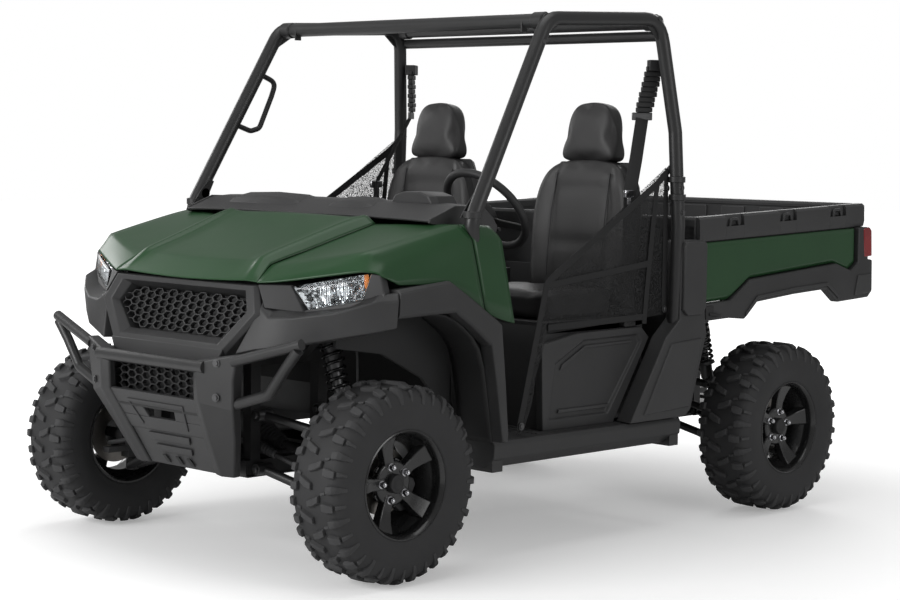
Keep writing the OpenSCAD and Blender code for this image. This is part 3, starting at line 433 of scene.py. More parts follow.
def bolt(at, way, r=0.008, h=0.006):
    """A hexagon bolt head on a washer."""
    m = Matrix.Translation(at) @ Vector(way).to_track_quat("Z", "Y").to_matrix().to_4x4()
    head = loft([[(r * s * cos(pi / 3 * k), r * s * sin(pi / 3 * k), z) for k in range(6)]
                 for s, z in ((1, -0.001), (1, h * 0.8), (0.82, h))])
    wash = loft([[(r * 1.45 * cos(pi / 8 * k), r * 1.45 * sin(pi / 8 * k), z) for k in range(16)]
                 for z in (-0.002, 0.0015)])
    return joined(moved(head, m), moved(wash, m))


def bed_at(shape):
    """Turns a shape from the level bed's frame to the sloped bed's place."""
    m = (Matrix.Translation((0, BED_Y0, BED_UNDER)) @ Matrix.Rotation(BED_RISE, 4, "X")
         @ Matrix.Translation((0, -BED_Y0, -BED_UNDER)))
    return moved(shape, m)


def skin(name, rows, mat, body, cols=(), lines=(), thick=0.004, levels=2, mirror=False,
    replaces=(), crease=0.75):
    """A smooth sheet over rows of points, sharper along some of its columns and rows."""
    n = len(rows[0])
    v, f = loft(rows, closed=False)
    me = bpy.data.meshes.new(name)
    me.from_pydata([tuple(p) for p in v], [], f)
    me.materials.append(mat)
    bm = bmesh.new()
    bm.from_mesh(me)
    layer = bm.edges.layers.float.new("crease_edge")
    for e in bm.edges:
        (i, a), (j, c) = (divmod(w.index, n) for w in e.verts)
        if e.is_boundary:
            e[layer] = 1
        elif (a == c and a in cols) or (i == j and i in lines):
            e[layer] = crease
    if mirror:
        geom = bmesh.ops.duplicate(bm, geom=bm.verts[:] + bm.edges[:] + bm.faces[:])["geom"]
        for g in geom:
            if isinstance(g, bmesh.types.BMVert):
                g.co.x = -g.co.x
        bmesh.ops.reverse_faces(bm, faces=[g for g in geom if isinstance(g, bmesh.types.BMFace)])
    bm.to_mesh(me)
    bm.free()
    o = bpy.data.objects.new(name, me)
    bpy.context.scene.collection.objects.link(o)
    s = o.modifiers.new("smooth", "SUBSURF")
    s.levels = s.render_levels = levels
    s = o.modifiers.new("solid", "SOLIDIFY")
    s.thickness = thick
    s.offset = 0
    for p in me.polygons:
        p.use_smooth = True
    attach(o, body)
    if replaces:
        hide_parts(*replaces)
    return o


# ---------------------------------------------------------------- wheels

PITCHES = 18
HALF = [(0, 0.3105), (0.06, 0.308), (0.085, 0.303), (0.100, 0.292), (0.109, 0.275), (0.1135, 0.25),
        (0.113, 0.225)]


def on_tyre(t):
    """The place and outward direction at a distance t from the crown along the tyre's section."""
    for (xa, ra), (xb, rb) in zip(HALF, HALF[1:]):
        d = math.hypot(xb - xa, rb - ra)
        if t <= d or (xb, rb) == HALF[-1]:
            k = t / d
            return xa + (xb - xa) * k, ra + (rb - ra) * k, (ra - rb) / d, (xb - xa) / d
        t -= d


def lug(rows, turn, way):
    """A tread block over rows of (distance from the crown, near side, far side, height)."""
    rings = []
    for t, s0, s1, h in rows:
        x, r, nx, nr = on_tyre(abs(t))
        if t < 0:
            x, nx = -x, -nx
        ring = []
        for s, k in ((s0, -0.003), (s0 * 0.88 + s1 * 0.12, h), (s1 * 0.88 + s0 * 0.12, h), (s1, -0.003)):
            a = turn + s / 0.31
            px, pr = x + nx * k, min(r + nr * k, 0.3218)
            ring.append((way * px, pr * sin(a), pr * cos(a)))
        rings.append(ring)
    return loft(rings)


def tyre_mesh():
    """One tyre's carcass and tread about the X axis."""
    prof = [(-0.088, 0.167), (-0.100, 0.176), (-0.104, 0.182), (-0.1045, 0.188), (-0.109, 0.200)]
    prof += [(-x, r) for x, r in HALF[::-1]]
    prof += [(x, r) for x, r in HALF[1:]]
    prof += [(0.109, 0.200), (0.1045, 0.188), (0.104, 0.182), (0.100, 0.176), (0.088, 0.167)]
    prof += [(0.080, 0.19), (0.0, 0.20), (-0.080, 0.19), prof[0]]
    shapes = [lathe(prof, "x", (0, 0, 0), 72)]
    step = 2 * pi / PITCHES
    for i in range(PITCHES):
        for way in (1, -1):
            a = step * (i + (0.5 if way < 0 else 0))
            shapes.append(lug([(-0.008, -0.014, 0.010, 0.0115), (0.018, -0.008, 0.020, 0.0125),
                               (0.042, 0.004, 0.030, 0.0125)], a, way))
            shapes.append(lug([(0.055, -0.034, -0.004, 0.0125), (0.074, -0.038, -0.006, 0.0135),
                               (0.092, -0.038, -0.010, 0.011)], a + step * 0.12, way))
            shapes.append(lug([(0.072, 0.022, 0.052, 0.012), (0.088, 0.024, 0.054, 0.0135),
                               (0.104, 0.026, 0.052, 0.011), (0.120, 0.029, 0.049, 0.0055),
                               (0.140, 0.031, 0.047, 0.003)], a + step * 0.1, way))
            shapes.append(lug([(0.100, -0.030, -0.012, 0.010), (0.118, -0.028, -0.014, 0.005),
                               (0.134, -0.027, -0.015, 0.0025)], a + step * 0.12, way))
            shapes.append(lug([(0.046, -0.006, 0.006, 0.005), (0.066, -0.002, 0.010, 0.005)],
                a + step * 0.3, way))
    return joined(*shapes)


def rim_meshes():
    """The barrel, disc and nuts of one rim about the X axis."""
    barrel = [(0.103, 0.171), (0.101, 0.1755), (0.094, 0.1755), (0.088, 0.169), (0.060, 0.166),
        (0.030, 0.141), (-0.040, 0.140), (-0.062, 0.166), (-0.088, 0.169), (-0.101, 0.175), (-0.103, 0.168),
              (-0.088, 0.160), (-0.062, 0.158), (-0.042, 0.132), (0.026, 0.132), (0.056, 0.156),
              (0.066, 0.158), (0.084, 0.159), (0.094, 0.163), (0.103, 0.171)]
    shapes = [lathe(barrel, "x", (0, 0, 0), 96)]
    spokes = []
    for i in range(5):
        m = Matrix.Rotation(2 * pi / 5 * i, 4, "X")
        spokes.append(moved(loft([[(x0, -w, z), (x1, -w * 0.72, z), (x1, w * 0.72, z), (x0, w, z)]
                                  for z, w, x0, x1 in ((0.040, 0.026, 0.022, 0.047),
                                      (0.090, 0.0265, 0.024, 0.048), (0.122, 0.034, 0.030, 0.055),
                                      (0.150, 0.041, 0.040, 0.067), (0.157, 0.043, 0.046, 0.070))]), m))
        web = loft([[(0.024, -0.012, z), (0.034, -0.010, z), (0.034, 0.010, z), (0.024, 0.012, z)]
                    for z in (0.05, 0.08)])
        spokes.append(moved(web, m @ Matrix.Rotation(pi / 5, 4, "X")))
    spokes.append(lathe([(0.020, 0.074), (0.040, 0.074), (0.0455, 0.068), (0.046, 0.034)], "x",
        (0, 0, 0), 60))
    cap = lathe([(0.044, 0.031), (0.060, 0.031), (0.064, 0.028), (0.0645, 0.020), (0.063, 0.018),
        (0.0635, 0.001)],
                "x", (0, 0, 0), 40)
    nuts = []
    for i in range(5):
        a = 2 * pi / 5 * i
        at = (0, 0.055 * sin(-a), 0.055 * cos(a))
        hexagon = loft([[(x, at[1] + r * cos(pi / 3 * k), at[2] + r * sin(pi / 3 * k)) for k in range(6)]
                        for x, r in ((0.044, 0.0105), (0.060, 0.0105), (0.063, 0.008))])
        nuts += [hexagon, lathe([(0.044, 0.0135), (0.0495, 0.0125), (0.0500, 0.009)], "x", at, 20),
                 lathe([(0.060, 0.006), (0.067, 0.0058), (0.069, 0.003)], "x", at, 16)]
    return joined(*shapes), joined(*spokes), cap, joined(*nuts)


TYRE = tyre_mesh()
BARREL, SPOKES, CAP, NUTS = rim_meshes()
for end, y in (("front", YF), ("rear", YR)):
    for hand, s in (("left", 1), ("right", -1)):
        body = f"wheel_{end}_{hand}"
        m = Matrix.Translation((s * WHEEL_X, y, AXLE)) @ Matrix.Scale(s, 4, (1, 0, 0)) @ Matrix.Rotation(
            radians(16 if end == "front" else -8), 4, "X")
        t = f"{end}_{hand}"
        piece(f"tyre_{t}_tread", *moved(TYRE, m), RUBBER, body, "tyre_rubber", smooth=32, bevel=0.0018,
            segments=1, replaces=[f"tyre_{t}"])
        piece(f"rim_{t}_barrel", *moved(BARREL, m), GLOSS, body, "rim_black", smooth=40,
            replaces=[f"rim_{t}"])
        piece(f"rim_{t}_spokes", *moved(SPOKES, m), GLOSS, body, "rim_black", smooth=40, bevel=0.0028,
            segments=3)
        piece(f"rim_{t}_cap", *moved(CAP, m), DARK, body, "rim_black", smooth=40)
        piece(f"rim_{t}_nuts", *moved(NUTS, m), CHROME, body, "rim_black", smooth=40)
        # brake disc and caliper, seen through the spokes
        hub = {"front": f"{hand}_knuckle", "rear": "chassis"}[end]
        disc = lathe([(-0.012, 0.050), (-0.012, 0.108), (-0.006, 0.108), (-0.006, 0.050),
            (-0.012, 0.050)], "x", (0, 0, 0), 64)
        piece(f"brake_{t}_disc", *moved(disc, m), STEEL, body, "bare_grey", smooth=40)
        cal = joined(prism([(-0.118, -0.045), (-0.100, -0.058), (-0.064, -0.052), (-0.064, 0.052),
            (-0.100, 0.058), (-0.118, 0.045)], "x", -0.040, 0.016),
                     box((-0.055, -0.085, -0.016), (-0.030, -0.050, 0.016)),
                     lathe([(-0.052, 0.019), (-0.040, 0.021), (-0.036, 0.021)], "x", (0, -0.092, 0.02), 24),
                     lathe([(-0.052, 0.019), (-0.040, 0.021), (-0.036, 0.021)], "x", (0, -0.092, -0.02),
                         24))
        mk = Matrix.Translation((s * WHEEL_X, y, AXLE)) @ Matrix.Scale(s, 4, (1, 0, 0)) @ Matrix.Rotation(
            radians(150 if end == "front" else 30), 4, "X")
        piece(f"brake_{t}_caliper", *moved(cal, mk), CAST, hub, "bare_grey", smooth=40, bevel=0.003)

# ---------------------------------------------------------------- green panels

# Each row of the hood: y behind the front axle, then (x, z) from the middle to the edge
HOOD = [
    (-0.236, [(0, 0.938), (0.150, 0.941), (0.250, 0.944), (0.300, 0.946), (0.318, 0.947),
        (0.340, 0.946), (0.374, 0.944)]), (-0.222, [(0, 0.952), (0.150, 0.955), (0.250, 0.959),
            (0.298, 0.962), (0.316, 0.964), (0.336, 0.962), (0.368, 0.955)]),
    (-0.158, [(0, 1.001), (0.150, 1.003), (0.240, 1.005), (0.284, 1.010), (0.300, 1.018),
        (0.318, 1.017), (0.346, 0.996)]), (-0.120, [(0, 1.016), (0.150, 1.018), (0.236, 1.019),
            (0.283, 1.024), (0.299, 1.034), (0.317, 1.033), (0.348, 1.009)]),
    (-0.020, [(0, 1.050), (0.150, 1.050), (0.246, 1.049), (0.290, 1.054), (0.308, 1.066),
        (0.328, 1.064), (0.360, 1.036)]), (0.110, [(0, 1.094), (0.150, 1.094), (0.262, 1.091),
            (0.306, 1.098), (0.325, 1.110), (0.346, 1.108), (0.378, 1.078)]),
    (0.200, [(0, 1.126), (0.150, 1.126), (0.275, 1.124), (0.320, 1.129), (0.338, 1.139), (0.358, 1.136),
        (0.392, 1.106)]), (0.248, [(0, 1.144), (0.150, 1.143), (0.285, 1.140), (0.330, 1.144),
            (0.346, 1.148), (0.364, 1.146), (0.400, 1.122)])]
rows = []
for dy, pts in HOOD:
    bow = [(x, YF + dy - 0.016 * (1 - (x / 0.37) ** 2) * (1 if dy < -0.1 else 0.5), z) for x, z in pts]
    rows.append([(-x, y, z) for x, y, z in bow[:0:-1]] + bow)
skin("hood_panel", rows, GREEN, "hood", cols=(1, 2, 3, 9, 10, 11, 4, 8), lines=(2,),
    replaces=["hood"],
     crease=0.7)

FENDER = [
    [(0.376, -0.238, 0.943), (0.440, -0.206, 0.946), (0.560, -0.150, 0.966), (0.700, -0.082, 0.989),
        (0.736, -0.058, 0.986), (0.752, -0.046, 0.976)],
    [(0.371, -0.222, 0.955), (0.440, -0.190, 0.968), (0.556, -0.134, 0.992), (0.694, -0.060, 1.018),
        (0.738, -0.034, 0.998), (0.760, -0.024, 0.966)],
    [(0.350, -0.158, 0.994), (0.430, -0.130, 1.006), (0.546, -0.092, 1.024), (0.690, -0.038, 1.050),
        (0.730, 0.000, 1.012), (0.770, 0.010, 0.948)],
    [(0.364, -0.020, 1.034), (0.430, -0.008, 1.040), (0.544, 0.020, 1.052), (0.696, 0.060, 1.074),
        (0.736, 0.086, 1.030), (0.780, 0.100, 0.948)],
    [(0.382, 0.110, 1.076), (0.440, 0.118, 1.078), (0.546, 0.138, 1.086), (0.706, 0.170, 1.098),
        (0.742, 0.190, 1.052), (0.786, 0.206, 0.944)],
    [(0.396, 0.200, 1.104), (0.450, 0.208, 1.106), (0.556, 0.226, 1.110), (0.713, 0.262, 1.118),
        (0.746, 0.276, 1.074), (0.788, 0.292, 0.908)],
    [(0.404, 0.246, 1.119), (0.456, 0.252, 1.121), (0.560, 0.270, 1.124), (0.717, 0.330, 1.129),
        (0.748, 0.352, 1.086), (0.789, 0.376, 0.850)]]
skin("fender_panels", [[(x, YF + y, z) for x, y, z in row] for row in FENDER], GREEN, "chassis",
    cols=(3, 4), lines=(2,), mirror=True, replaces=["fenders"], crease=0.62)
STRIP = [
    [(0.458, 0.256, 1.120), (0.562, 0.274, 1.123), (0.717, 0.336, 1.128), (0.748, 0.358, 1.085),
        (0.789, 0.382, 0.846)],
    [(0.520, 0.300, 1.122), (0.600, 0.330, 1.124), (0.716, 0.400, 1.127), (0.748, 0.424, 1.084),
        (0.790, 0.440, 0.820)],
    [(0.590, 0.380, 1.122), (0.640, 0.420, 1.124), (0.712, 0.470, 1.122), (0.742, 0.500, 1.078),
        (0.786, 0.522, 0.802)]]
skin("fender_strips", [[(x, YF + y, z) for x, y, z in row] for row in STRIP], GREEN, "chassis",
    cols=(2, 3), mirror=True, crease=0.62)

# ---------------------------------------------------------------- nose

NOSE = Matrix.Translation((0, YF - 0.235, 0.940)) @ Matrix.Rotation(radians(-19), 4, "X")


def hexagon_ring(top_w, top, mid_w, mid, low_w, low):
    """A six-cornered outline, the same on both sides, from half widths and heights."""
    return [(top_w, top), (mid_w, mid), (low_w, low), (-low_w, low), (-mid_w, mid), (-top_w, top)]


def ring_loft(steps):
    """Closed outlines in the nose's plane, each at a depth, skinned into a frame."""
    return moved(loft([[(x, d, z) for x, z in ring] for ring, d in steps] +
                      [[(x, steps[0][1], z) for x, z in steps[0][0]]])[:1] +
                 (loft([[(x, d, z) for x, z in ring] for ring, d in steps + steps[:1]])[1][:-2],), NOSE)


outer = hexagon_ring(0.374, -0.002, 0.418, -0.098, 0.292, -0.244)
piece("grille_frame", *ring_loft([
    (outer, 0.050), (hexagon_ring(0.374, -0.002, 0.420, -0.098, 0.294, -0.245), 0.010),
    (hexagon_ring(0.362, -0.010, 0.402, -0.098, 0.284, -0.236), -0.006),
    (hexagon_ring(0.330, -0.026, 0.362, -0.096, 0.262, -0.212), -0.004),
    (hexagon_ring(0.306, -0.032, 0.344, -0.095, 0.246, -0.186), 0.020),
    (hexagon_ring(0.300, -0.038, 0.338, -0.095, 0.241, -0.180), 0.060)]),
    PLASTIC, smooth=25, bevel=0.003, replaces=["front_fascia"])
# chin under the frame, with its lower edge
piece("grille_chin", *moved(loft([
    [(-0.296, 0.02, -0.250), (-0.300, -0.010, -0.226), (0.300, -0.010, -0.226), (0.296, 0.02, -0.250)],
    [(-0.262, 0.03, -0.290), (-0.268, 0.004, -0.282), (0.268, 0.004, -0.282), (0.262, 0.03, -0.290)]]),
    NOSE), PLASTIC, bevel=0.004)


def honeycomb(w, h, rx, rz, wall, depth, m, inside):
    """Staggered columns of flat hexagonal rings that fill an opening."""
    shapes = []
    for i in range(int(w / (1.5 * rx)) + 2):
        for j in range(int(h / (2 * rz)) + 2):
            x, z = -w / 2 + i * 1.5 * rx, -h + (2 * j + i % 2) * rz
            if not inside(x, z):
                continue
            a = [(x + rx * cx * 1.04, z + rz * cz * 1.04) for cx, cz in
                 ((-1, 0), (-0.5, 1), (0.5, 1), (1, 0), (0.5, -1), (-0.5, -1))]
            b = [(x + (px - x) * (1 - wall), z + (pz - z) * (1 - wall)) for px, pz in a]
            v = [(px, d, pz) for ring, d in ((a, depth), (a, 0), (b, 0), (b, depth)) for px, pz in ring]
            f = [[r * 6 + k, r * 6 + (k + 1) % 6, (r + 1) * 6 + (k + 1) % 6, (r + 1) * 6 + k]
                 for r in range(3) for k in range(6)]
            shapes.append((v, f))
    return moved(joined(*shapes), m)


def in_grille(x, z):
    """Whether a point lies in the grille's opening."""
    return -0.176 < z < -0.040 and abs(x) < (0.305 + (-0.04 - z) * 0.6 if z > -0.095
        else 0.338 - (-0.095 - z) * 1.14) - 0.004


piece("grille_honeycomb", *honeycomb(0.702, 0.190, 0.026, 0.0125, 0.17, 0.016,
                                     NOSE @ Matrix.Translation((0, 0.030, 0)), in_grille),
      PLASTIC, smooth=0, replaces=["grilles"])
piece("grille_lower", *honeycomb(0.468, 0.150, 0.026, 0.0125, 0.17, 0.014,
    Matrix.Translation((0, YF - 0.335, 0.662)), lambda x, z: abs(x) < 0.235 and -0.145 < z < -0.004),
    PLASTIC, smooth=0)
piece("grille_backing", *joined(
    moved(box((-0.350, 0.062, -0.186), (0.350, 0.066, -0.022)), NOSE),
    moved(box((-0.300, 0.020, -0.030), (0.300, 0.062, -0.012)), NOSE),
    box((-0.256, YF - 0.290, 0.50), (0.256, YF - 0.286, 0.68)),
    box((-0.256, YF - 0.350, 0.660), (0.256, YF - 0.286, 0.668)),
    box((-0.256, YF - 0.350, 0.508), (0.256, YF - 0.286, 0.516)),
    twin(box((0.246, YF - 0.350, 0.508), (0.256, YF - 0.286, 0.668)))), DARK, bevel=0.001)

f = YF  # the front axle, from which the nose, bumper and arches are measured
# wing over each front wheel: sections of (back top, front top, front edge, front low, back low)
WING = [
    [(0.386, f - 0.185, 0.905), (0.396, f - 0.226, 0.900), (0.410, f - 0.252, 0.868),
        (0.352, f - 0.312, 0.716), (0.345, f - 0.230, 0.712)],
    [(0.430, f - 0.170, 0.872), (0.440, f - 0.214, 0.866), (0.458, f - 0.262, 0.838),
        (0.418, f - 0.292, 0.732), (0.410, f - 0.215, 0.730)],
    [(0.520, f - 0.120, 0.862), (0.532, f - 0.168, 0.857), (0.545, f - 0.238, 0.842),
        (0.520, f - 0.252, 0.748), (0.505, f - 0.165, 0.746)],
    [(0.640, f - 0.052, 0.882), (0.655, f - 0.104, 0.878), (0.668, f - 0.168, 0.862),
        (0.648, f - 0.172, 0.776), (0.630, f - 0.100, 0.772)],
    [(0.735, f - 0.026, 0.918), (0.748, f - 0.062, 0.920), (0.768, f - 0.092, 0.898),
        (0.752, f - 0.092, 0.800), (0.730, f - 0.040, 0.796)],
    [(0.745, f - 0.014, 0.926), (0.795, f - 0.014, 0.926), (0.803, f - 0.020, 0.900),
        (0.796, f - 0.020, 0.815), (0.745, f - 0.014, 0.812)]]
piece("fascia_wings", *loft(WING), PLASTIC, smooth=25, bevel=0.005, segments=3, mirror=True)
# panel between the grille and the lamp, and the garnish outside the lamp
piece("lamp_surrounds", *joined(
    loft([[(0.376, f - 0.236, 0.938), (0.380, f - 0.190, 0.930), (0.420, f - 0.190, 0.868),
        (0.424, f - 0.250, 0.866)],
          [(0.476, f - 0.183, 0.940), (0.476, f - 0.140, 0.930), (0.528, f - 0.130, 0.852),
              (0.528, f - 0.170, 0.852)]]), loft([[(0.524, f - 0.166, 0.862), (0.524, f - 0.12, 0.862),
                  (0.520, f - 0.12, 0.846), (0.524, f - 0.176, 0.846)],
          [(0.700, f - 0.084, 0.900), (0.690, f - 0.04, 0.900), (0.690, f - 0.04, 0.872),
              (0.704, f - 0.094, 0.874)],
          [(0.766, f - 0.048, 0.930), (0.752, f - 0.02, 0.930), (0.752, f - 0.02, 0.905),
              (0.772, f - 0.052, 0.905)]]), loft([[(0.726, f - 0.070, 0.984), (0.722, f - 0.03, 0.980),
                  (0.700, f - 0.03, 0.900), (0.704, f - 0.082, 0.902)],
          [(0.748, f - 0.052, 0.980), (0.744, f - 0.02, 0.976), (0.764, f - 0.02, 0.914),
              (0.768, f - 0.050, 0.916)]])), PLASTIC, smooth=25, bevel=0.003, mirror=True)


def patch(a, b, c, d, bulge, n=14, k=8):
    """A bulged sheet of points between four corners."""
    a, b, c, d = map(Vector, (a, b, c, d))
    rows = []
    for i in range(k + 1):
        t = i / k
        rows.append([(a.lerp(d, t)).lerp(b.lerp(c, t), j / n)
                     + Vector(bulge) * (1 - (2 * j / n - 1) ** 4) * (1 - (2 * t - 1) ** 4)
                     for j in range(n + 1)])
    return rows


LAMP = ((0.484, f - 0.180, 0.934), (0.722, f - 0.066, 0.984), (0.700, f - 0.080, 0.902),
    (0.532, f - 0.158, 0.864))
piece("headlamp_lenses", *loft(patch(*LAMP, (0.004, -0.010, 0.002)), closed=False), LENS, slot="lamp_clear",
      smooth=60, solid=0.003, mirror=True, replaces=["headlamps"])
deep = Vector((-0.022, 0.048, -0.004))
back_corners = [Vector(p) + deep for p in LAMP]
mid = sum((Vector(p) for p in LAMP), Vector()) / 4 + deep
back_corners = [p.lerp(mid, 0.12) for p in back_corners]
cup = patch(*back_corners, (-0.008, 0.016, 0), 20, 8)
for i, row in enumerate(cup):
    for j, p in enumerate(row):
        row[j] = p + Vector((-0.003, 0.006, 0)) * sin(j * 2.1) * sin(i * 1.3)
side_walls = [[Vector(p) + Vector((0, 0.003, 0)) for p in LAMP], back_corners]
piece("headlamp_reflectors", *joined(loft(cup, closed=False),
    (loft(side_walls)[0], loft(side_walls)[1][:-2])), SILVER, slot="lamp_clear", smooth=20, solid=0.002,
    mirror=True)
bulbs = []
for k in (0.36, 0.62):
    p = Vector(LAMP[0]).lerp(Vector(LAMP[1]), k).lerp(Vector(LAMP[3]).lerp(Vector(LAMP[2]), k), 0.5)
    bulbs.append(lathe([(-0.002, 0.030), (0.030, 0.020), (0.034, 0.008)], "y",
        p + Vector((-0.006, 0.012, 0)), 28))
piece("headlamp_bowls", *joined(*bulbs), SILVER, slot="lamp_clear", smooth=40, mirror=True)
q = [Vector(LAMP[1]).lerp(Vector(LAMP[0]), 0.02), Vector(LAMP[1]).lerp(Vector(LAMP[0]), 0.10),
     Vector(LAMP[2]).lerp(Vector(LAMP[3]), 0.10).lerp(Vector(LAMP[1]), 0.35),
     Vector(LAMP[2]).lerp(Vector(LAMP[3]), 0.0).lerp(Vector(LAMP[1]), 0.35)]
piece("marker_lamps", *loft([[p + Vector((-0.003, 0.006, -0.003)) for p in q],
                             [p + Vector((-0.008, 0.020, -0.003)) for p in q]]),
      AMBER, slot="lamp_clear", smooth=40, bevel=0.002, mirror=True)

# ---------------------------------------------------------------- front bumper

BAR_Z = 0.674
posts = [
    [(0.234, f - 0.377, 0.694), (0.262, f - 0.388, 0.692), (0.400, f - 0.340, 0.722),
        (0.392, f - 0.300, 0.722), (0.232, f - 0.350, 0.694)],
    [(0.226, f - 0.378, 0.640), (0.256, f - 0.390, 0.640), (0.386, f - 0.344, 0.640),
        (0.380, f - 0.300, 0.640), (0.226, f - 0.350, 0.640)],
    [(0.226, f - 0.376, 0.560), (0.262, f - 0.386, 0.560), (0.376, f - 0.336, 0.540),
        (0.370, f - 0.296, 0.540), (0.226, f - 0.345, 0.560)],
    [(0.198, f - 0.312, 0.430), (0.236, f - 0.322, 0.430), (0.326, f - 0.286, 0.430),
        (0.318, f - 0.250, 0.430), (0.196, f - 0.280, 0.430)],
    [(0.176, f - 0.244, 0.302), (0.214, f - 0.252, 0.300), (0.262, f - 0.236, 0.300),
        (0.258, f - 0.205, 0.300), (0.176, f - 0.215, 0.302)]]
piece("bumper_posts", *loft(posts), PLASTIC, smooth=25, bevel=0.006, segments=3, mirror=True,
      replaces=["front_bumper"], slot="cage_black")
piece("bumper_bar", *tube([(-0.285, f - 0.374, BAR_Z), (0.285, f - 0.374, BAR_Z)], 0.021, 28), CAGE,
    slot="cage_black")
piece("bumper_hoops", *joined(
    tube([(0.378, f - 0.338, 0.697), (0.634, f - 0.293, 0.765), (0.652, f - 0.290, 0.770)], 0.0175, 24),
    tube([(0.640, f - 0.293, 0.752), (0.584, f - 0.294, 0.692), (0.507, f - 0.298, 0.600),
        (0.360, f - 0.318, 0.556)],
         0.0175, 24, bend=0.05)), CAGE, slot="cage_black", mirror=True)


def on_skid(x, z, out=0.0):
    """A point of the skid plate's sloping face."""
    k = (0.560 - z) / 0.258
    return (x, f - 0.372 + 0.132 * k - out * 0.9, z - out * 0.35)


def skid(pts, depth, rise=0.0):
    """A slab that lies on the skid plate's face."""
    ring = [on_skid(x, z, rise) for x, z in pts]
    return loft([ring, [(p[0], p[1] + depth, p[2] + depth * 0.3) for p in ring]])


piece("skid_face", *joined(
    skid([(-0.228, 0.562), (0.228, 0.562), (0.222, 0.512), (-0.222, 0.512)], 0.014),
    skid([(-0.222, 0.512), (-0.086, 0.512), (-0.070, 0.474), (-0.212, 0.474)][::-1], 0.014),
    skid([(0.222, 0.512), (0.212, 0.474), (0.070, 0.474), (0.086, 0.512)][::-1], 0.014),
    skid([(-0.212, 0.474), (0.212, 0.474), (0.200, 0.428), (-0.200, 0.428)], 0.014),
    skid([(-0.200, 0.428), (0.200, 0.428), (0.176, 0.302), (-0.176, 0.302)], 0.014, -0.004)),
    PLASTIC, smooth=25, bevel=0.003, slot="cage_black")
piece("skid_relief", *joined(
    skid([(-0.150, 0.534), (0.150, 0.534), (0.142, 0.522), (-0.142, 0.522)], 0.004, 0.004),
    skid([(-0.150, 0.534), (-0.142, 0.522), (-0.112, 0.450), (-0.124, 0.444)][::-1], 0.004, 0.004),
    skid([(0.150, 0.534), (0.124, 0.444), (0.112, 0.450), (0.142, 0.522)][::-1], 0.004, 0.004),
    skid([(-0.110, 0.420), (0.110, 0.420), (0.100, 0.396), (-0.100, 0.396)], 0.006, 0.004),
    skid([(-0.096, 0.378), (0.096, 0.378), (0.088, 0.356), (-0.088, 0.356)], 0.006, 0.004)),
    PLASTIC, smooth=25, bevel=0.0015, slot="cage_black")
piece("skid_slots", *joined(*[skid([(x - 0.014, 0.342), (x + 0.004, 0.342), (x + 0.016, 0.316),
    (x - 0.002, 0.316)],
                                   0.003, 0.003) for x in (-0.07, 0.0, 0.06)]), DARK, smooth=0,
                                   slot="cage_black")
piece("bumper_bolts", *joined(*[bolt((x, y, z), (0.35, -0.94, 0), 0.009)
                                for x, y, z in ((0.33, f - 0.367, 0.69), (0.325, f - 0.365, 0.58))]),
      ZINC, slot="bare_grey", mirror=True, smooth=40)

# ---------------------------------------------------------------- arches, sills and cab sides

FLARE = [
    (-0.0135, 0.925, 0.935, -0.0135, 0.844), (0.100, 0.937, 0.946, 0.120, 0.848),
    (0.213, 0.948, 0.955, 0.240, 0.851), (0.330, 0.876, 0.886, 0.325, 0.795),
    (0.448, 0.800, 0.810, 0.403, 0.735), (0.468, 0.620, 0.628, 0.432, 0.590),
    (0.485, 0.436, 0.440, 0.455, 0.436), (0.482, 0.4065, 0.410, 0.462, 0.4065)]
piece("wheel_arches", *loft([[(0.745, f + oy, top), (0.788, f + oy, top), (0.803, f + oy, z),
    (0.801, f + iy, lz + 0.012), (0.792, f + iy, lz), (0.745, f + iy, lz)]
    for oy, z, top, iy, lz in FLARE]), PLASTIC, smooth=25, bevel=0.004, segments=3, mirror=True,
    replaces=["flares"])
skin("arch_liners", [[(x, f + iy, lz - 0.002) for x in (0.602, 0.65, 0.70, 0.752)]
    for _, _, _, iy, lz in FLARE],
     DARK, "chassis", thick=0.004, levels=1, mirror=True)
GUARD = [(-0.10, 0.79), (0.25, 0.84), (0.403, 0.73), (0.435, 0.43), (0.40, 0.43), (0.365, 0.53),
    (0.28, 0.62), (0.10, 0.71), (-0.10, 0.74)]
piece("hood_tray", *joined(box((-0.42, f - 0.15, 0.885), (0.42, f + 0.38, 0.892)),
    box((-0.42, f + 0.372, 0.80), (0.42, f + 0.380, 1.08))), DARK, bevel=0.002)
piece("inner_guards", *prism([(f + y, z) for y, z in GUARD], "x", 0.585, 0.600),
      DARK, smooth=25, bevel=0.002, mirror=True)

SILL = [(0.602, 0.310), (0.700, 0.310), (0.744, 0.346), (0.747, 0.388), (0.738, 0.404), (0.602, 0.4045)]
piece("sill_covers", *loft([[(x, y, z) for x, z in SILL]
    for y in (-0.667, -0.640, -0.30, 0.0, 0.290, 0.317)]), PLASTIC, smooth=25, bevel=0.004, segments=3,
    mirror=True, replaces=["sills"])
piece("sill_treads", *joined(*[box((0.640 + 0.02 * i, -0.42, 0.4035), (0.650 + 0.02 * i, 0.02, 0.4070))
    for i in range(4)]), DARK, bevel=0.001, mirror=True)

BASE0, BASE1 = CAB_REAR - 0.632, CAB_REAR - 0.090


def side_panel(outline, x0, x1, inset, depth):
    """A side panel with a recessed field: two outlines of [y, z]."""
    rows = [[(x0, y, z) for y, z in outline], [(x1, y, z) for y, z in outline],
            [(x1, y, z) for y, z in inset[0]], [(x1 - depth, y, z) for y, z in inset[1]]]
    v, fc = loft(rows)
    return v, fc


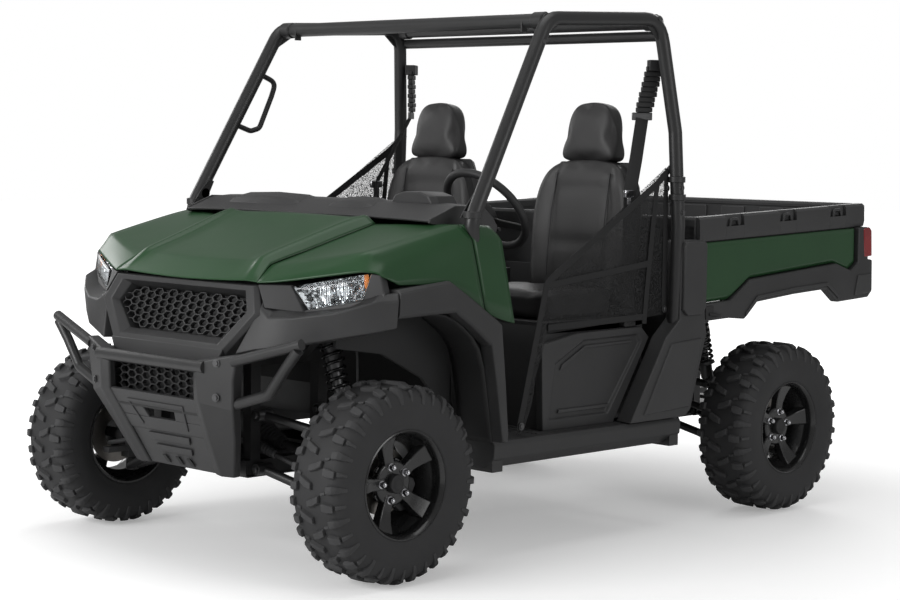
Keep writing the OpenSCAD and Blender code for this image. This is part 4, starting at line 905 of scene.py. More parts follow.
PANEL = [(BASE0 - 0.020, 0.4055), (BASE0 - 0.030, 0.705), (BASE0 + 0.150, 0.736),
    (CAB_REAR - 0.133, 0.741), (CAB_REAR - 0.088, 0.700), (CAB_REAR - 0.279, 0.4055)]
FIELD = [(BASE0 + 0.010, 0.440), (BASE0 + 0.040, 0.640), (BASE0 + 0.190, 0.712),
    (CAB_REAR - 0.150, 0.716), (CAB_REAR - 0.128, 0.690), (CAB_REAR - 0.310, 0.440)]
FIELD2 = [(y + (0.008 if y < -0.1 else -0.008), z + (0.008 if z < 0.6 else -0.008)) for y, z in FIELD]
piece("side_panels", *side_panel(PANEL, 0.655, 0.686, (FIELD, FIELD2), 0.010), PLASTIC, smooth=25,
    bevel=0.004, segments=3, mirror=True, replaces=["seat_base"])
piece("side_ledges", *joined(prism([(BASE0 + 0.06, 0.462), (BASE0 + 0.066, 0.474),
    (CAB_REAR - 0.300, 0.474), (CAB_REAR - 0.308, 0.462)], "x", 0.670, 0.684),
                             prism([(BASE0 + 0.070, 0.610), (BASE0 + 0.080, 0.630),
                                 (BASE0 + 0.200, 0.690), (CAB_REAR - 0.180, 0.694),
                                 (CAB_REAR - 0.184, 0.684), (BASE0 + 0.205, 0.680)], "x", 0.670, 0.682)),
      PLASTIC, smooth=25, bevel=0.002, mirror=True)
piece("seat_box", *joined(
    prism([(BASE0, 0.4055), (BASE0, 0.700), (BASE0 + 0.025, 0.779), (BASE1, 0.779), (BASE1, 0.742),
        (BASE0 + 0.03, 0.70), (BASE0 + 0.01, 0.4055)], "x", -0.655, 0.655),
    box((-0.655, BASE0 + 0.02, 0.735), (0.655, BASE1, 0.7785)),
    box((-0.655, BASE1 - 0.006, 0.4055), (0.655, BASE1, 0.75))), PLASTIC, smooth=25, bevel=0.004)
QUARTER = [(CAB_REAR - 0.268, 0.4065), (CAB_REAR - 0.076, 0.702), (CAB_REAR - 0.002, 0.764),
    (CAB_REAR, 1.040), (CAB_REAR + 0.006, 1.0485), (CAB_REAR + 0.134, 1.0485),
           (CAB_REAR + 0.140, 1.040), (CAB_REAR + 0.140, 0.784), (CAB_REAR + 0.158, 0.704),
           (CAB_REAR + 0.072, 0.430), (CAB_REAR + 0.040, 0.4065)]
piece("quarter_covers", *prism(QUARTER, "x", 0.687, 0.758), PLASTIC, smooth=25, bevel=0.007, segments=3,
    mirror=True, replaces=["quarter_panels"])
piece("rear_wall", *box((-0.6875, 0.312, 0.60), (0.6875, 0.318, 0.93)), DARK, bevel=0.002)
piece("post_covers", *joined(
    prism([(CAB_REAR + 0.004, 0.800), (CAB_REAR + 0.004, 1.030), (CAB_REAR + 0.012, 1.044),
        (CAB_REAR + 0.128, 1.044), (CAB_REAR + 0.136, 1.030), (CAB_REAR + 0.136, 0.800),
        (CAB_REAR + 0.110, 0.776), (CAB_REAR + 0.030, 0.776)], "x", 0.750, 0.772),
    prism([(CAB_REAR - 0.200, 0.430), (CAB_REAR - 0.050, 0.680), (CAB_REAR + 0.126, 0.690),
        (CAB_REAR + 0.060, 0.440)], "x", 0.750, 0.764)), PLASTIC, smooth=25, bevel=0.006, segments=3,
        mirror=True)

# cab floor: mat with ribs, and the firewall's station y0
y0 = FIREWALL  # the cab's front wall, from which the dash is measured
piece("floor_mat", *joined(box((-0.59, BASE0 - 0.23, 0.4045), (0.59, BASE0 - 0.004, 0.409)),
                           *[box((-0.58, BASE0 - 0.22 + 0.03 * i, 0.408),
                               (0.58, BASE0 - 0.208 + 0.03 * i, 0.412)) for i in range(7)]),
      DARK, bevel=0.001)

# ---------------------------------------------------------------- dash and controls

DASH = [(y0 - 0.145, 1.146), (y0 - 0.025, 1.188), (y0 + 0.060, 1.194), (y0 + 0.115, 1.184),
    (y0 + 0.160, 1.150), (y0 + 0.178, 1.118), (y0 + 0.150, 1.000), (y0 + 0.138, 0.960),
    (y0 + 0.008, 0.902), (y0 + 0.008, 0.912), (y0 + 0.120, 0.965), (y0 + 0.160, 1.115),
    (y0 + 0.100, 1.172), (y0 - 0.02, 1.176), (y0 - 0.140, 1.138)]
n = 24
sections = []
for i in range(n + 1):
    x = -0.640 + 1.28 * i / n
    sections.append([(x, y, z - 0.006 * (abs(x) / 0.64) ** 4) for y, z in DASH])
piece("dash_shell", *loft(sections), PLASTIC, smooth=30, bevel=0.003, replaces=["dash"])
piece("dash_ends", *joined(prism([(y0 - 0.145, 1.132), (y0 - 0.14, 1.146), (y0 - 0.025, 1.187),
    (y0 + 0.11, 1.183), (y0 + 0.177, 1.118), (y0 + 0.138, 0.962), (y0 + 0.008, 0.904),
    (y0 + 0.008, 1.10)], "x", 0.632, 0.641)), PLASTIC, mirror=True, bevel=0.002)
hump = []
for a, b, h in ((0.06, 0.28, 0.016), (-0.48, -0.10, 0.018)):
    hump.append(loft([[(x0, y, z) for y, z in ((y0 - 0.10, 1.150), (y0 - 0.06, 1.176 + k),
        (y0 + 0.01, 1.190 + k), (y0 + 0.05, 1.190))]
                      for x0, k in ((a, 0.0), (a + 0.03, h * 0.7), ((a + b) / 2, h),
                          (b - 0.03, h * 0.7), (b, 0.0))]))
piece("cowl_humps", *joined(*hump), PLASTIC, smooth=30, bevel=0.006, segments=3)
gauge = loft([[(STEER_X + dx * w, y, z) for dx, z in ((-0.120, 1.186), (-0.100, 1.214), (-0.05, 1.226),
    (0.05, 1.226), (0.100, 1.214), (0.120, 1.186))]
              for y, w in ((y0 + 0.010, 0.80), (y0 + 0.03, 1.0), (y0 + 0.115, 1.0))])
piece("gauge_hood", *gauge, PLASTIC, smooth=30, bevel=0.004, segments=3)
piece("gauge_face", *prism([(STEER_X - 0.085, 1.150), (STEER_X - 0.085, 1.205), (STEER_X - 0.06, 1.216),
    (STEER_X + 0.06, 1.216), (STEER_X + 0.085, 1.205), (STEER_X + 0.085, 1.150)], "y", y0 + 0.112,
    y0 + 0.120), GAUGE, bevel=0.003)
vents = [box((x - 0.045, y0 + 0.160, 1.060), (x + 0.045, y0 + 0.176, 1.100)) for x in (-0.50, -0.14, 0.14)]
piece("dash_trim", *joined(*vents, box((-0.44, y0 + 0.150, 1.000), (-0.20, y0 + 0.166, 1.040)),
                           *[lathe([(0, 0.018), (0.014, 0.016), (0.016, 0.012)], "y",
                               (x, y0 + 0.160, 1.03), 20) for x in (0.02, 0.08, 0.56)]),
      DARK, smooth=35, bevel=0.003)

TILT = radians(38)
WHEEL = Matrix.Translation((STEER_X, -0.360, 1.160)) @ Matrix.Rotation(TILT - pi / 2, 4, "X")
ring = lathe([(0.015 * sin(2 * pi * k / 14) * 0.95, 0.165 + 0.015 * cos(2 * pi * k / 14))
    for k in (*range(14), 0)], "z", (0, 0, 0), 72)
piece("steering_rim", *moved(ring, WHEEL), GRIP, "steering", "wheel_grip", smooth=60,
    replaces=["steering_wheel"])
arms3 = []
for a in (90, 210, 330):
    m = Matrix.Rotation(radians(a + 180), 4, "Z")
    arms3.append(moved(loft([[(x, -w, z), (x, -w * 0.8, z + 0.010), (x, w * 0.8, z + 0.010), (x, w, z)]
                             for x, w, z in ((0.030, 0.026, -0.040), (0.080, 0.018, -0.028),
                                 (0.130, 0.015, -0.010), (0.160, 0.017, -0.004))]), m))
piece("steering_spokes", *moved(joined(*arms3), WHEEL), GRIP, "steering", "wheel_grip", smooth=40,
    bevel=0.002)
piece("steering_hub", *moved(lathe([(-0.055, 0.034), (-0.045, 0.046), (-0.025, 0.058), (-0.014, 0.058),
    (-0.006, 0.046), (-0.004, 0.002)], "z", (0, 0, 0), 40), WHEEL), GRIP, "steering", "wheel_grip",
    smooth=45)
boots = []
for k in range(7):
    boots.append(lathe([(-0.33 + 0.02 * k, 0.027), (-0.323 + 0.02 * k, 0.033),
        (-0.313 + 0.02 * k, 0.027)], "z", (0, 0, 0), 28))
piece("column_boot", *moved(joined(*boots), WHEEL), DARK, smooth=50)
piece("stalks", *joined(tube([WHEEL @ Vector((0.03, 0, -0.09)), WHEEL @ Vector((0.13, 0.01, -0.09))],
    0.007, 12)), DARK, smooth=40)
NODES["controls"].data.materials[0] = DARK
piece("pedal_pads", *joined(*[box((x - 0.036, y0 + 0.107, 0.528), (x + 0.036, y0 + 0.113, 0.592))
    for x in (STEER_X - 0.13, STEER_X - 0.01)],
                            *[box((x - 0.03, y0 + 0.112, 0.536 + 0.014 * k),
                                (x + 0.03, y0 + 0.117, 0.542 + 0.014 * k))
                                for x in (STEER_X - 0.13, STEER_X - 0.01) for k in range(4)]),
      GRIP, bevel=0.0015)
gear = lathe([(1.050, 0.006), (1.062, 0.016), (1.084, 0.024), (1.100, 0.020), (1.107, 0.008)], "z",
    (0.090, y0 + 0.236, 0), 24)
piece("gear_knob", *gear, GRIP, smooth=50)

# ---------------------------------------------------------------- seats


def pad(name, half, shape, place, body="chassis", n=18, k=7.0, replaces=(), cap=0.010, pressure=3.0):
    """A stuffed pad: a rounded block bent by shape, swollen as cloth, then capped to a few millimetres."""
    bm = bmesh.new()
    bmesh.ops.create_cube(bm, size=2)
    bmesh.ops.subdivide_edges(bm, edges=bm.edges[:], cuts=n, use_grid_fill=True)
    for v in bm.verts:
        c = v.co
        s = (abs(c.x) ** k + abs(c.y) ** k + abs(c.z) ** k) ** (-1 / k)
        c = c * s
        v.co = place @ Vector(shape(c.x, c.y, c.z, half))
    bmesh.ops.recalc_face_normals(bm, faces=bm.faces[:])
    me = bpy.data.meshes.new(name)
    bm.to_mesh(me)
    bm.free()
    o = bpy.data.objects.new(name, me)
    bpy.context.scene.collection.objects.link(o)
    before = [v.co.copy() for v in me.vertices]
    c = o.modifiers.new("cloth", "CLOTH")
    c.settings.effector_weights.gravity = 0
    c.settings.use_pressure = True
    c.settings.uniform_pressure_force = pressure
    c.settings.quality = 4
    c.settings.tension_stiffness = c.settings.compression_stiffness = 12
    c.settings.mass = 0.3
    c.point_cache.frame_start = 1
    c.point_cache.frame_end = 14
    for frame_number in range(1, 15):
        bpy.context.scene.frame_set(frame_number)
    swollen = o.evaluated_get(bpy.context.evaluated_depsgraph_get())
    after = [v.co.copy() for v in swollen.data.vertices]
    o.modifiers.remove(c)
    for v, p, q in zip(me.vertices, before, after):
        d = q - p
        v.co = p + d * min(1.0, cap / max(d.length, 1e-9))
    bpy.context.scene.frame_set(1)
    ss = o.modifiers.new("smooth", "SUBSURF")
    ss.levels = ss.render_levels = 1
    me.materials.append(VINYL)
    for p in me.polygons:
        p.use_smooth = True
    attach(o, body)
    if replaces:
        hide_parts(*replaces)
    return o


def cushion_shape(x, y, z, h):
    """Shapes a block's point into a crowned seat cushion."""
    px, py, pz = x * h[0] * (1 - 0.10 * max(0, y) ** 2), y * h[1], z * h[2]
    if z > 0:
        pz *= 0.74 + 0.26 * min(1, abs(x) ** 3 * 1.1 + max(0, -y - 0.3) * 0.5)
        pz -= 0.006 * (1 if abs(abs(x) - 0.60) < 0.05 or abs(y + 0.42) < 0.05 and abs(x) < 0.62 else 0)
        pz += 0.014 * cos(min(1, abs(x) / 0.6) * pi / 2) * cos(y * pi / 2)
    return px, py, pz


def back_shape(x, y, z, h):
    """Shapes a block's point into a backrest with bolsters and sewn channels."""
    taper = 1 - 0.24 * max(0, z) ** 2.5 - 0.10 * max(0, -z) ** 2
    px, pz = x * h[0] * taper, z * h[2] - 0.030 * abs(x) ** 3 * max(0, z) ** 2
    py = y * h[1]
    if y < 0:
        py *= 0.50 + 0.62 * min(1, abs(x) ** 3 * 1.3)
        py += 0.006 * (1 if abs(abs(x) - 0.62) < 0.05 or abs(z - 0.55) < 0.04 and abs(x) < 0.62
            or abs(z + 0.15) < 0.035 and abs(x) < 0.6 else 0)
        py -= 0.012 * cos(min(1, abs(x) / 0.6) * pi / 2) * cos(z * pi / 2)
    return px, py + 0.012 * abs(x) ** 2, pz


def head_shape(x, y, z, h):
    """Shapes a block's point into a headrest that narrows upward."""
    w = 1 - 0.34 * (z * 0.5 + 0.5) - 0.16 * max(0, z) ** 4
    return x * h[0] * w, y * h[1] * (1 - 0.15 * max(0, z) ** 2), z * h[2]


LEAN = Matrix.Rotation(radians(-6), 4, "X")
for hand, s in (("left", 1), ("right", -1)):
    x = SEAT_X * s
    base = Matrix.Translation((x, -0.108, 0.832))
    pad(f"cushion_{hand}", (0.244, 0.196, 0.050), cushion_shape, base, replaces=["seat_cushions"]
        if s > 0 else (), cap=0.006)
    foot = Matrix.Translation((x, 0.097, 0.790)) @ LEAN
    pad(f"backrest_{hand}", (0.246, 0.046, 0.272), back_shape, foot @ Matrix.Translation((0, 0.024, 0.286)),
        replaces=["seat_backs"] if s > 0 else (), cap=0.008)
    pad(f"headrest_{hand}", (0.136, 0.044, 0.108), head_shape,
        foot @ Matrix.Translation((0, 0.040, 0.652)), n=12, cap=0.008)
    shell = [[(px, 0.062, pz), (px * 0.97, 0.090, pz)] for px, pz in
             ((-0.200, 0.01), (-0.226, 0.16), (-0.230, 0.30), (-0.218, 0.46), (-0.170, 0.548),
                 (0.170, 0.548), (0.218, 0.46), (0.230, 0.30), (0.226, 0.16), (0.200, 0.01))]
    ring_f = [(p[0][0], 0.050, p[0][2]) for p in shell]
    ring_b = [(p[0][0] * 0.90, 0.090, 0.02 + p[0][2] * 0.95) for p in shell]
    piece(f"seat_shell_{hand}", *moved(loft([ring_f, ring_b]), foot), DARK, smooth=35, bevel=0.008,
        segments=3)
    piece(f"headrest_posts_{hand}",
        *moved(joined(*[tube([(px, 0.04, 0.54), (px, 0.04, 0.62)], 0.007, 14) for px in (-0.05, 0.05)]),
            foot), CHROME, smooth=60)
    seams = []
    for px in (-0.132, 0.132):
        seams.append([(px, -0.014, 0.05), (px, -0.020, 0.20), (px, -0.018, 0.35),
            (px * 0.97, -0.006, 0.50)])
    piece(f"seat_piping_{hand}", *moved(joined(*[tube(q, 0.0022, 8, bend=0.05) for q in seams]), foot),
        STITCH, slot="seat_vinyl", smooth=60)
    rails = [box((x + dx - 0.012, -0.28, 0.7805), (x + dx + 0.012, 0.06, 0.788)) for dx in (-0.15, 0.15)]
    piece(f"seat_rails_{hand}", *joined(*rails), FRAME, slot="frame_black", bevel=0.002)
    buckle = joined(tube([(x - s * 0.262, 0.03, 0.782), (x - s * 0.266, 0.01, 0.86)], 0.008, 12),
                    moved(box((-0.012, -0.022, 0), (0.012, 0.022, 0.075)),
                        Matrix.Translation((x - s * 0.266, 0.008, 0.855))))
    piece(f"belt_buckle_{hand}", *buckle, DARK, slot="webbing", bevel=0.003, smooth=40)

# ---------------------------------------------------------------- cage

HOOP = [(0.690, -0.640, 0.350), (0.690, -0.640, 0.440), (0.690, -0.690, 0.700), (0.733, -0.779, 1.139),
        (0.694, -0.384, 1.817), (0.676, 0.235, 1.845), (0.718, 0.285, 1.440), (0.735, 0.292, 1.100),
        (0.716, 0.292, 0.440), (0.716, 0.292, 0.350)]
piece("cage_hoops", *tube(HOOP, POST_R, 28, bend=0.095), CAGE, slot="cage_black", mirror=True, smooth=60,
      replaces=["roll_cage"])
piece("cage_bars", *joined(tube([(-0.690, -0.375, 1.811), (0.690, -0.375, 1.811)], POST_R, 28),
                           tube([(-0.675, 0.233, 1.833), (0.675, 0.233, 1.833)], POST_R, 28),
                           tube([(-0.683, 0.257, 1.785), (0.683, 0.257, 1.785)], 0.019, 24)), CAGE,
                           slot="cage_black", smooth=60)
fish = []
for px, y, z in ((0.655, -0.375, 1.811), (0.640, 0.233, 1.833)):
    fish.append(lathe([(-0.026, 0.0265), (-0.022, 0.030), (0.022, 0.030), (0.026, 0.0265)], "x",
        (px, y, z), 28))
piece("cage_collars", *joined(*fish), CAGE, slot="cage_black", smooth=40, mirror=True)
gus = [prism([(-0.380, 1.809), (-0.288, 1.814), (-0.430, 1.731)], "x", 0.682, 0.687),
       prism([(0.227, 1.837), (0.245, 1.745), (0.135, 1.833)], "x", 0.680, 0.685),
       box((0.585, -0.400, 1.772), (0.592, -0.372, 1.812))]
piece("cage_plates", *joined(*gus), CAGE, slot="cage_black", bevel=0.001, mirror=True)
sleeves = [lathe([(-0.012, 0.0262), (-0.010, 0.031), (0.010, 0.031), (0.012, 0.0262)], "z", p, 28)
           for p in ((0.7295, 0.290, 1.206), (0.7265, 0.289, 1.27), (0.728, -0.770, 1.160))]
piece("cage_sleeves", *joined(*sleeves), CAGE, slot="cage_black", smooth=40, mirror=True)
piece("cage_bolts", *joined(*[bolt(p, d, 0.008) for p, d in
                              (((0.752, 0.289, 1.24), (1, 0, 0)), ((0.757, 0.291, 1.15), (1, 0, 0)),
                               ((0.708, 0.258, 1.238), (-0.2, -1, 0)), ((0.720, -0.430, 1.737), (1, 0, 0)),
                               ((0.700, 0.205, 1.843), (1, 0, 0)), ((0.749, -0.765, 1.17), (1, 0, 0)),
                               ((0.742, -0.735, 1.215), (1, 0, 0)))]), ZINC, slot="cage_black",
                               mirror=True, smooth=40)
piece("grab_handle", *joined(
    tube([(-0.712, -0.472, 1.644), (-0.702, -0.400, 1.612), (-0.702, -0.420, 1.560),
        (-0.702, -0.480, 1.436), (-0.706, -0.520, 1.425), (-0.716, -0.580, 1.447)],
         0.010, 16, bend=0.03)), GRIP, slot="cage_black", smooth=60)
piece("pillar_brackets", *joined(prism([(-0.800, 1.150), (-0.735, 1.165), (-0.700, 1.235),
    (-0.722, 1.245), (-0.765, 1.200)], "x", 0.700, 0.706),
    lathe([(0, 0.020), (0.010, 0.018)], "x", (0.700, -0.74, 1.19), 20)), CAGE, slot="cage_black",
    bevel=0.001, mirror=True)

# ---------------------------------------------------------------- belts and nets

belt = [(0.632, 0.262, 1.668), (0.610, 0.246, 1.560), (0.604, 0.236, 1.500), (0.640, 0.160, 1.340),
    (0.664, 0.104, 1.230), (0.668, 0.096, 1.000), (0.668, 0.096, 0.800)]
piece("belt_webbing", *tube(belt, 0, flat=(0.048, 0.0024, (0.83, -0.55, 0)), bend=0.05), WEB,
    slot="webbing", smooth=30, mirror=True, replaces=["seat_belts"])
TURN = Matrix.Rotation(-0.585, 4, "Z")
ribs = []
for k in range(9):
    t = k / 8
    p = Vector((0.634, 0.262, 1.668)).lerp(Vector((0.607, 0.240, 1.520)), t)
    w = 0.002 * (k % 2)
    ribs.append(moved(box((-0.009 - w, -0.030 - w, -0.009), (0.009 + w, 0.030 + w, 0.009)),
        Matrix.Translation(p) @ TURN))
piece("belt_boots", *joined(*ribs, moved(box((-0.020, -0.032, -0.012), (0.020, 0.032, 0.028)),
    Matrix.Translation((0.640, 0.268, 1.672)) @ TURN)), DARK, slot="webbing", bevel=0.003, mirror=True)
hard = joined(moved(box((-0.005, -0.038, -0.014), (0.005, 0.038, 0.014)),
    Matrix.Translation((0.604, 0.233, 1.496)) @ TURN))
piece("belt_guides", *hard, ZINC, slot="webbing", bevel=0.003, mirror=True)
tongue = joined(box((0.660, 0.070, 1.205), (0.672, 0.132, 1.232)),
    box((0.663, 0.086, 1.165), (0.667, 0.118, 1.208)))
piece("belt_tongues", *tongue, CHROME, slot="webbing", bevel=0.002, mirror=True)
piece("belt_reels", *joined(box((0.652, 0.066, 0.742), (0.682, 0.128, 0.806)),
    lathe([(0.650, 0.026), (0.684, 0.026)], "x", (0, 0.097, 0.775), 28)),
      DARK, slot="webbing", bevel=0.004, smooth=40, mirror=True)

NETX = 0.7015
EDGE = [(CAB_REAR - 0.030, 1.315), (CAB_REAR - 0.663, 0.925), (CAB_REAR - 0.800, 0.408),
    (CAB_REAR - 0.762, 0.408), (CAB_REAR - 0.660, 0.745), (CAB_REAR - 0.128, 0.748),
    (CAB_REAR - 0.030, 0.780)]


def net_rows(n=26, k=14, lift=(0, 0)):
    """A side net's points in rows, each from the top edge down, with the top corners lifted."""
    top = [Vector((0, EDGE[0][0], EDGE[0][1] + lift[0])), Vector((0, EDGE[1][0], EDGE[1][1] + lift[1])),
        Vector((0, *EDGE[2]))]
    low = [Vector((0, *EDGE[6])), Vector((0, *EDGE[4])), Vector((0, *EDGE[3]))]
    rows = []
    for i in range(n + 1):
        t = i / n * 2
        a, b = int(min(t, 1.999)), min(t, 1.999) % 1
        p, q = top[a].lerp(top[a + 1], b), low[a].lerp(low[a + 1], b)
        rows.append([(NETX + 0.004 * sin(i * 0.9 + j * 0.5) * (1 if t > 1 else 0.4),
            *p.lerp(q, j / k).yz) for j in range(k + 1)])
    return rows


for hand, s in (("left", 1), ("right", -1)):
    rows = [[(x * s, y, z) for x, y, z in row]
        for row in net_rows(lift=(0, 0) if s > 0 else (0.095, 0.085))]
    net = piece(f"side_net_{hand}", *loft(rows, closed=False), NET, slot="net_mesh", smooth=60,
                replaces=["side_nets"] if s > 0 else ())
holes_in(NET, 210, 0.14)
for hand, s, up, low in (("left", 1, 0, 0), ("right", -1, 0.095, 0.085)):
    xs = [s * (NETX + d) for d in (0.002, 0.003, 0.004, 0.005, 0.006)]
    straps = [
        tube([(xs[0], CAB_REAR + 0.011, 1.325 + up), (xs[2], CAB_REAR - 0.084, 1.253 + up),
            (xs[4], CAB_REAR - 0.610, 0.955 + low), (xs[2], CAB_REAR - 0.663, 0.920 + low),
            (xs[0], CAB_REAR - 0.792, 0.422)],
             0, flat=(0.026, 0.003, (1, 0, 0)), bend=0.03),
        tube([(xs[2], CAB_REAR - 0.084, 1.253 + up), (xs[3], CAB_REAR - 0.133, 0.858),
            (xs[1], CAB_REAR - 0.140, 0.752)], 0, flat=(0.024, 0.003, (1, 0, 0))),
        tube([(xs[2], CAB_REAR - 0.655, 0.912 + low), (xs[3], CAB_REAR - 0.128, 0.968 + low / 2)], 0,
            flat=(0.022, 0.003, (1, 0, 0))), tube([(xs[1], CAB_REAR - 0.128, 0.778),
                (xs[2], CAB_REAR - 0.655, 0.766)], 0, flat=(0.022, 0.003, (1, 0, 0))),
        tube([(xs[0], CAB_REAR - 0.030, 1.300 + up), (xs[0], CAB_REAR - 0.030, 0.790)], 0,
            flat=(0.024, 0.003, (1, 0, 0)))]
    piece(f"net_straps_{hand}", *joined(*straps), WEB, slot="webbing", smooth=30)
piece("net_anchors", *joined(*[bolt((0.7085, y, z), (1, 0, 0), 0.009)
    for y, z in ((CAB_REAR - 0.784, 0.438), (CAB_REAR - 0.032, 0.80), (CAB_REAR - 0.012, 1.31))]),
      ZINC, slot="webbing", smooth=40, mirror=True)

# ---------------------------------------------------------------- bed

b0, b1 = BED_Y0, BED_Y1  # the bed's front and rear walls


def bed_piece(name, shape, mat, slot="black_plastic", body="bed", **more):
    """A piece drawn level and laid on the sloped bed."""
    v, fc = bed_at(shape)
    return piece(name, v, fc, mat, body, slot, **more)


bed_piece("bed_walls", joined(
    twin(box((0.672, b0, 0.826), (0.699, b1, 1.100))), box((-0.70, b0, 0.826), (0.70, b0 + 0.030, 1.100)),
    box((-0.70, b0, 0.8245), (0.70, b1 - 0.038, 0.843))), PLASTIC, smooth=25, bevel=0.004,
    replaces=["bed_box"])
groove = [box((-0.62 + 0.124 * i, b0 + 0.04, 0.842), (-0.62 + 0.124 * i + 0.062, b1 - 0.05, 0.8495))
    for i in range(11) if i < 11 and -0.62 + 0.124 * i + 0.062 < 0.66]
bed_piece("bed_ribs", joined(*groove), PLASTIC, smooth=25, bevel=0.003)
# rails: an outer band with a rolled top and pockets
rail = []
pockets = [(y, y + 0.110) for y in (b0 + 0.165, b0 + 0.500, b0 + 0.835)]
band = [(0.668, 1.096), (0.668, 1.122), (0.676, 1.129), (0.708, 1.129), (0.7185, 1.120),
    (0.7195, 1.060), (0.714, 1.038), (0.699, 1.036), (0.699, 1.096)]
marks = [b0 + 0.006] + [v for p in pockets for v in p] + [b1 - 0.002]
slim = [(0.668, 1.096), (0.668, 1.122), (0.676, 1.129), (0.700, 1.129), (0.7045, 1.124),
    (0.7045, 1.090), (0.704, 1.089), (0.699, 1.088), (0.699, 1.096)]
low_band = [(0.699, 1.036), (0.714, 1.038), (0.7195, 1.060), (0.7190, 1.087), (0.699, 1.087)]
for i in range(len(marks) - 1):
    a, c = marks[i], marks[i + 1]
    if i % 2 == 0:
        rail.append(loft([[(x, y, z) for x, z in band] for y in (a, c)]))
    else:
        rail.append(loft([[(x, y, z) for x, z in slim] for y in (a, c)]))
        rail.append(loft([[(x, y, z) for x, z in low_band] for y in (a, c)]))
        rail.append(tube([(0.712, (a + c) / 2 - 0.028, 1.085), (0.712, (a + c) / 2 - 0.022, 1.112),
            (0.712, (a + c) / 2 + 0.022, 1.112), (0.712, (a + c) / 2 + 0.028, 1.085)],
                         0.006, 12, bend=0.012))
bed_piece("bed_rails", joined(*rail), PLASTIC, smooth=30, bevel=0.0025, mirror=True)
front_band = [(b0 - 0.004 + dy, z) for dy, z in ((0.034, 1.096), (0.034, 1.122), (0.026, 1.129),
    (0.010, 1.129), (0.004, 1.120), (0.004, 1.040), (0.034, 1.040))]
bed_piece("bed_front_rail", prism(front_band, "x", -0.70, 0.70), PLASTIC, smooth=30, bevel=0.0025)
head = [box((-0.60 + 0.2 * i, b0 + 0.028, 0.87), (-0.60 + 0.2 * i + 0.10, b0 + 0.036, 1.09))
    for i in range(7) if -0.60 + 0.2 * i + 0.1 < 0.66]
side_ribs = [box((0.664, b0 + 0.08 + 0.16 * i, 0.87), (0.673, b0 + 0.16 + 0.16 * i, 1.085))
    for i in range(6)]
bed_piece("bed_wall_ribs", joined(*head, twin(joined(*side_ribs))), PLASTIC, smooth=25, bevel=0.003)
SKIRT = [(b0, 0.745), (b0 + 0.160, 0.745), (b0 + 0.254, 0.733), (b0 + 0.333, 0.791),
    (b0 + 0.571, 0.802), (b0 + 0.785, 0.805), (b0 + 0.863, 0.747), (b1 + 0.001, 0.750),
    (b1 + 0.030, 0.775), (b1 + 0.030, 0.900), (b1, 0.905), (b1, 1.035),
         (b1 - 0.066, 1.035), (b1 - 0.070, 0.893), (b1 - 0.119, 0.867), (b1 - 0.218, 0.901),
         (b0 + 0.291, 0.880), (b0 + 0.275, 0.870), (b0 + 0.167, 0.811), (b0, 0.809)]
bed_piece("bed_skirts", prism(SKIRT, "x", 0.700, 0.738), PLASTIC, smooth=25, bevel=0.006, segments=3,
    mirror=True)
bed_piece("bed_skirt_lips", joined(
    prism([(b0 + 0.255, 0.742), (b0 + 0.336, 0.803), (b0 + 0.571, 0.815), (b0 + 0.785, 0.818),
        (b0 + 0.866, 0.760), (b0 + 0.866, 0.772), (b0 + 0.79, 0.832), (b0 + 0.571, 0.829),
        (b0 + 0.33, 0.816), (b0 + 0.255, 0.756)], "x", 0.73, 0.7445),
        prism([(b1 - 0.10, 0.765), (b1 + 0.015, 0.768), (b1 + 0.020, 0.845), (b1 - 0.075, 0.845)], "x",
            0.73, 0.743)), PLASTIC, smooth=25, bevel=0.003, mirror=True)
GREEN_SIDE = [(b0 + 0.001, 0.8105), (b0 + 0.166, 0.8125), (b0 + 0.275, 0.8715), (b0 + 0.291, 0.8815),
    (b1 - 0.218, 0.9025), (b1 - 0.119, 0.8685), (b1 - 0.072, 0.8945), (b1 - 0.069, 1.033),
    (b0 + 0.001, 1.033)]
inset = [(y + (0.016 if y < b0 + 0.5 else -0.016), z + (0.014 if z < 0.95 else -0.014))
    for y, z in GREEN_SIDE]
side_rows = [[(x, y, z) for y, z in o2]
    for x, o2 in ((0.7005, GREEN_SIDE), (0.716, GREEN_SIDE), (0.7255, inset))]
bed_piece("bed_green", loft(side_rows), GREEN, "body_green", smooth=25, bevel=0.004, segments=3,
    mirror=True, replaces=["bed_panels"])
bed_piece("tail_lamps", prism([(b1 - 0.030, 0.915), (b1 - 0.036, 1.030), (b1 + 0.006, 1.034),
    (b1 + 0.022, 1.020), (b1 + 0.024, 0.915)], "x", 0.690, 0.7405), RED, "body_green", smooth=30,
    bevel=0.005, segments=3, mirror=True)
bed_piece("tail_lamp_backs", box((0.668, b1 - 0.032, 0.905), (0.698, b1 + 0.016, 1.036)), DARK,
    bevel=0.004, mirror=True)
bed_piece("bed_latches", joined(box((0.700, b0 + 0.012, 0.752), (0.742, b0 + 0.060, 0.800)),
                                tube([(0.742, b0 + 0.03, 0.770), (0.748, b0 + 0.09, 0.762)], 0.006,
                                    10)), DARK, bevel=0.004, mirror=True)
ears = prism([(YR + 0.340, 0.825), (YR + 0.358, 0.732), (YR + 0.402, 0.732), (YR + 0.420, 0.825)], "x",
    0.2335, 0.2475)
bed_piece("bed_ears", twin(ears), FRAME, "frame_black", bevel=0.001)
gx = 0.666
gate_ribs = [box((-0.58 + 0.2 * i, b1 - 0.036, 0.88), (-0.58 + 0.2 * i + 0.12, b1 - 0.029, 1.10))
    for i in range(6)]
gy = b1 - 0.030
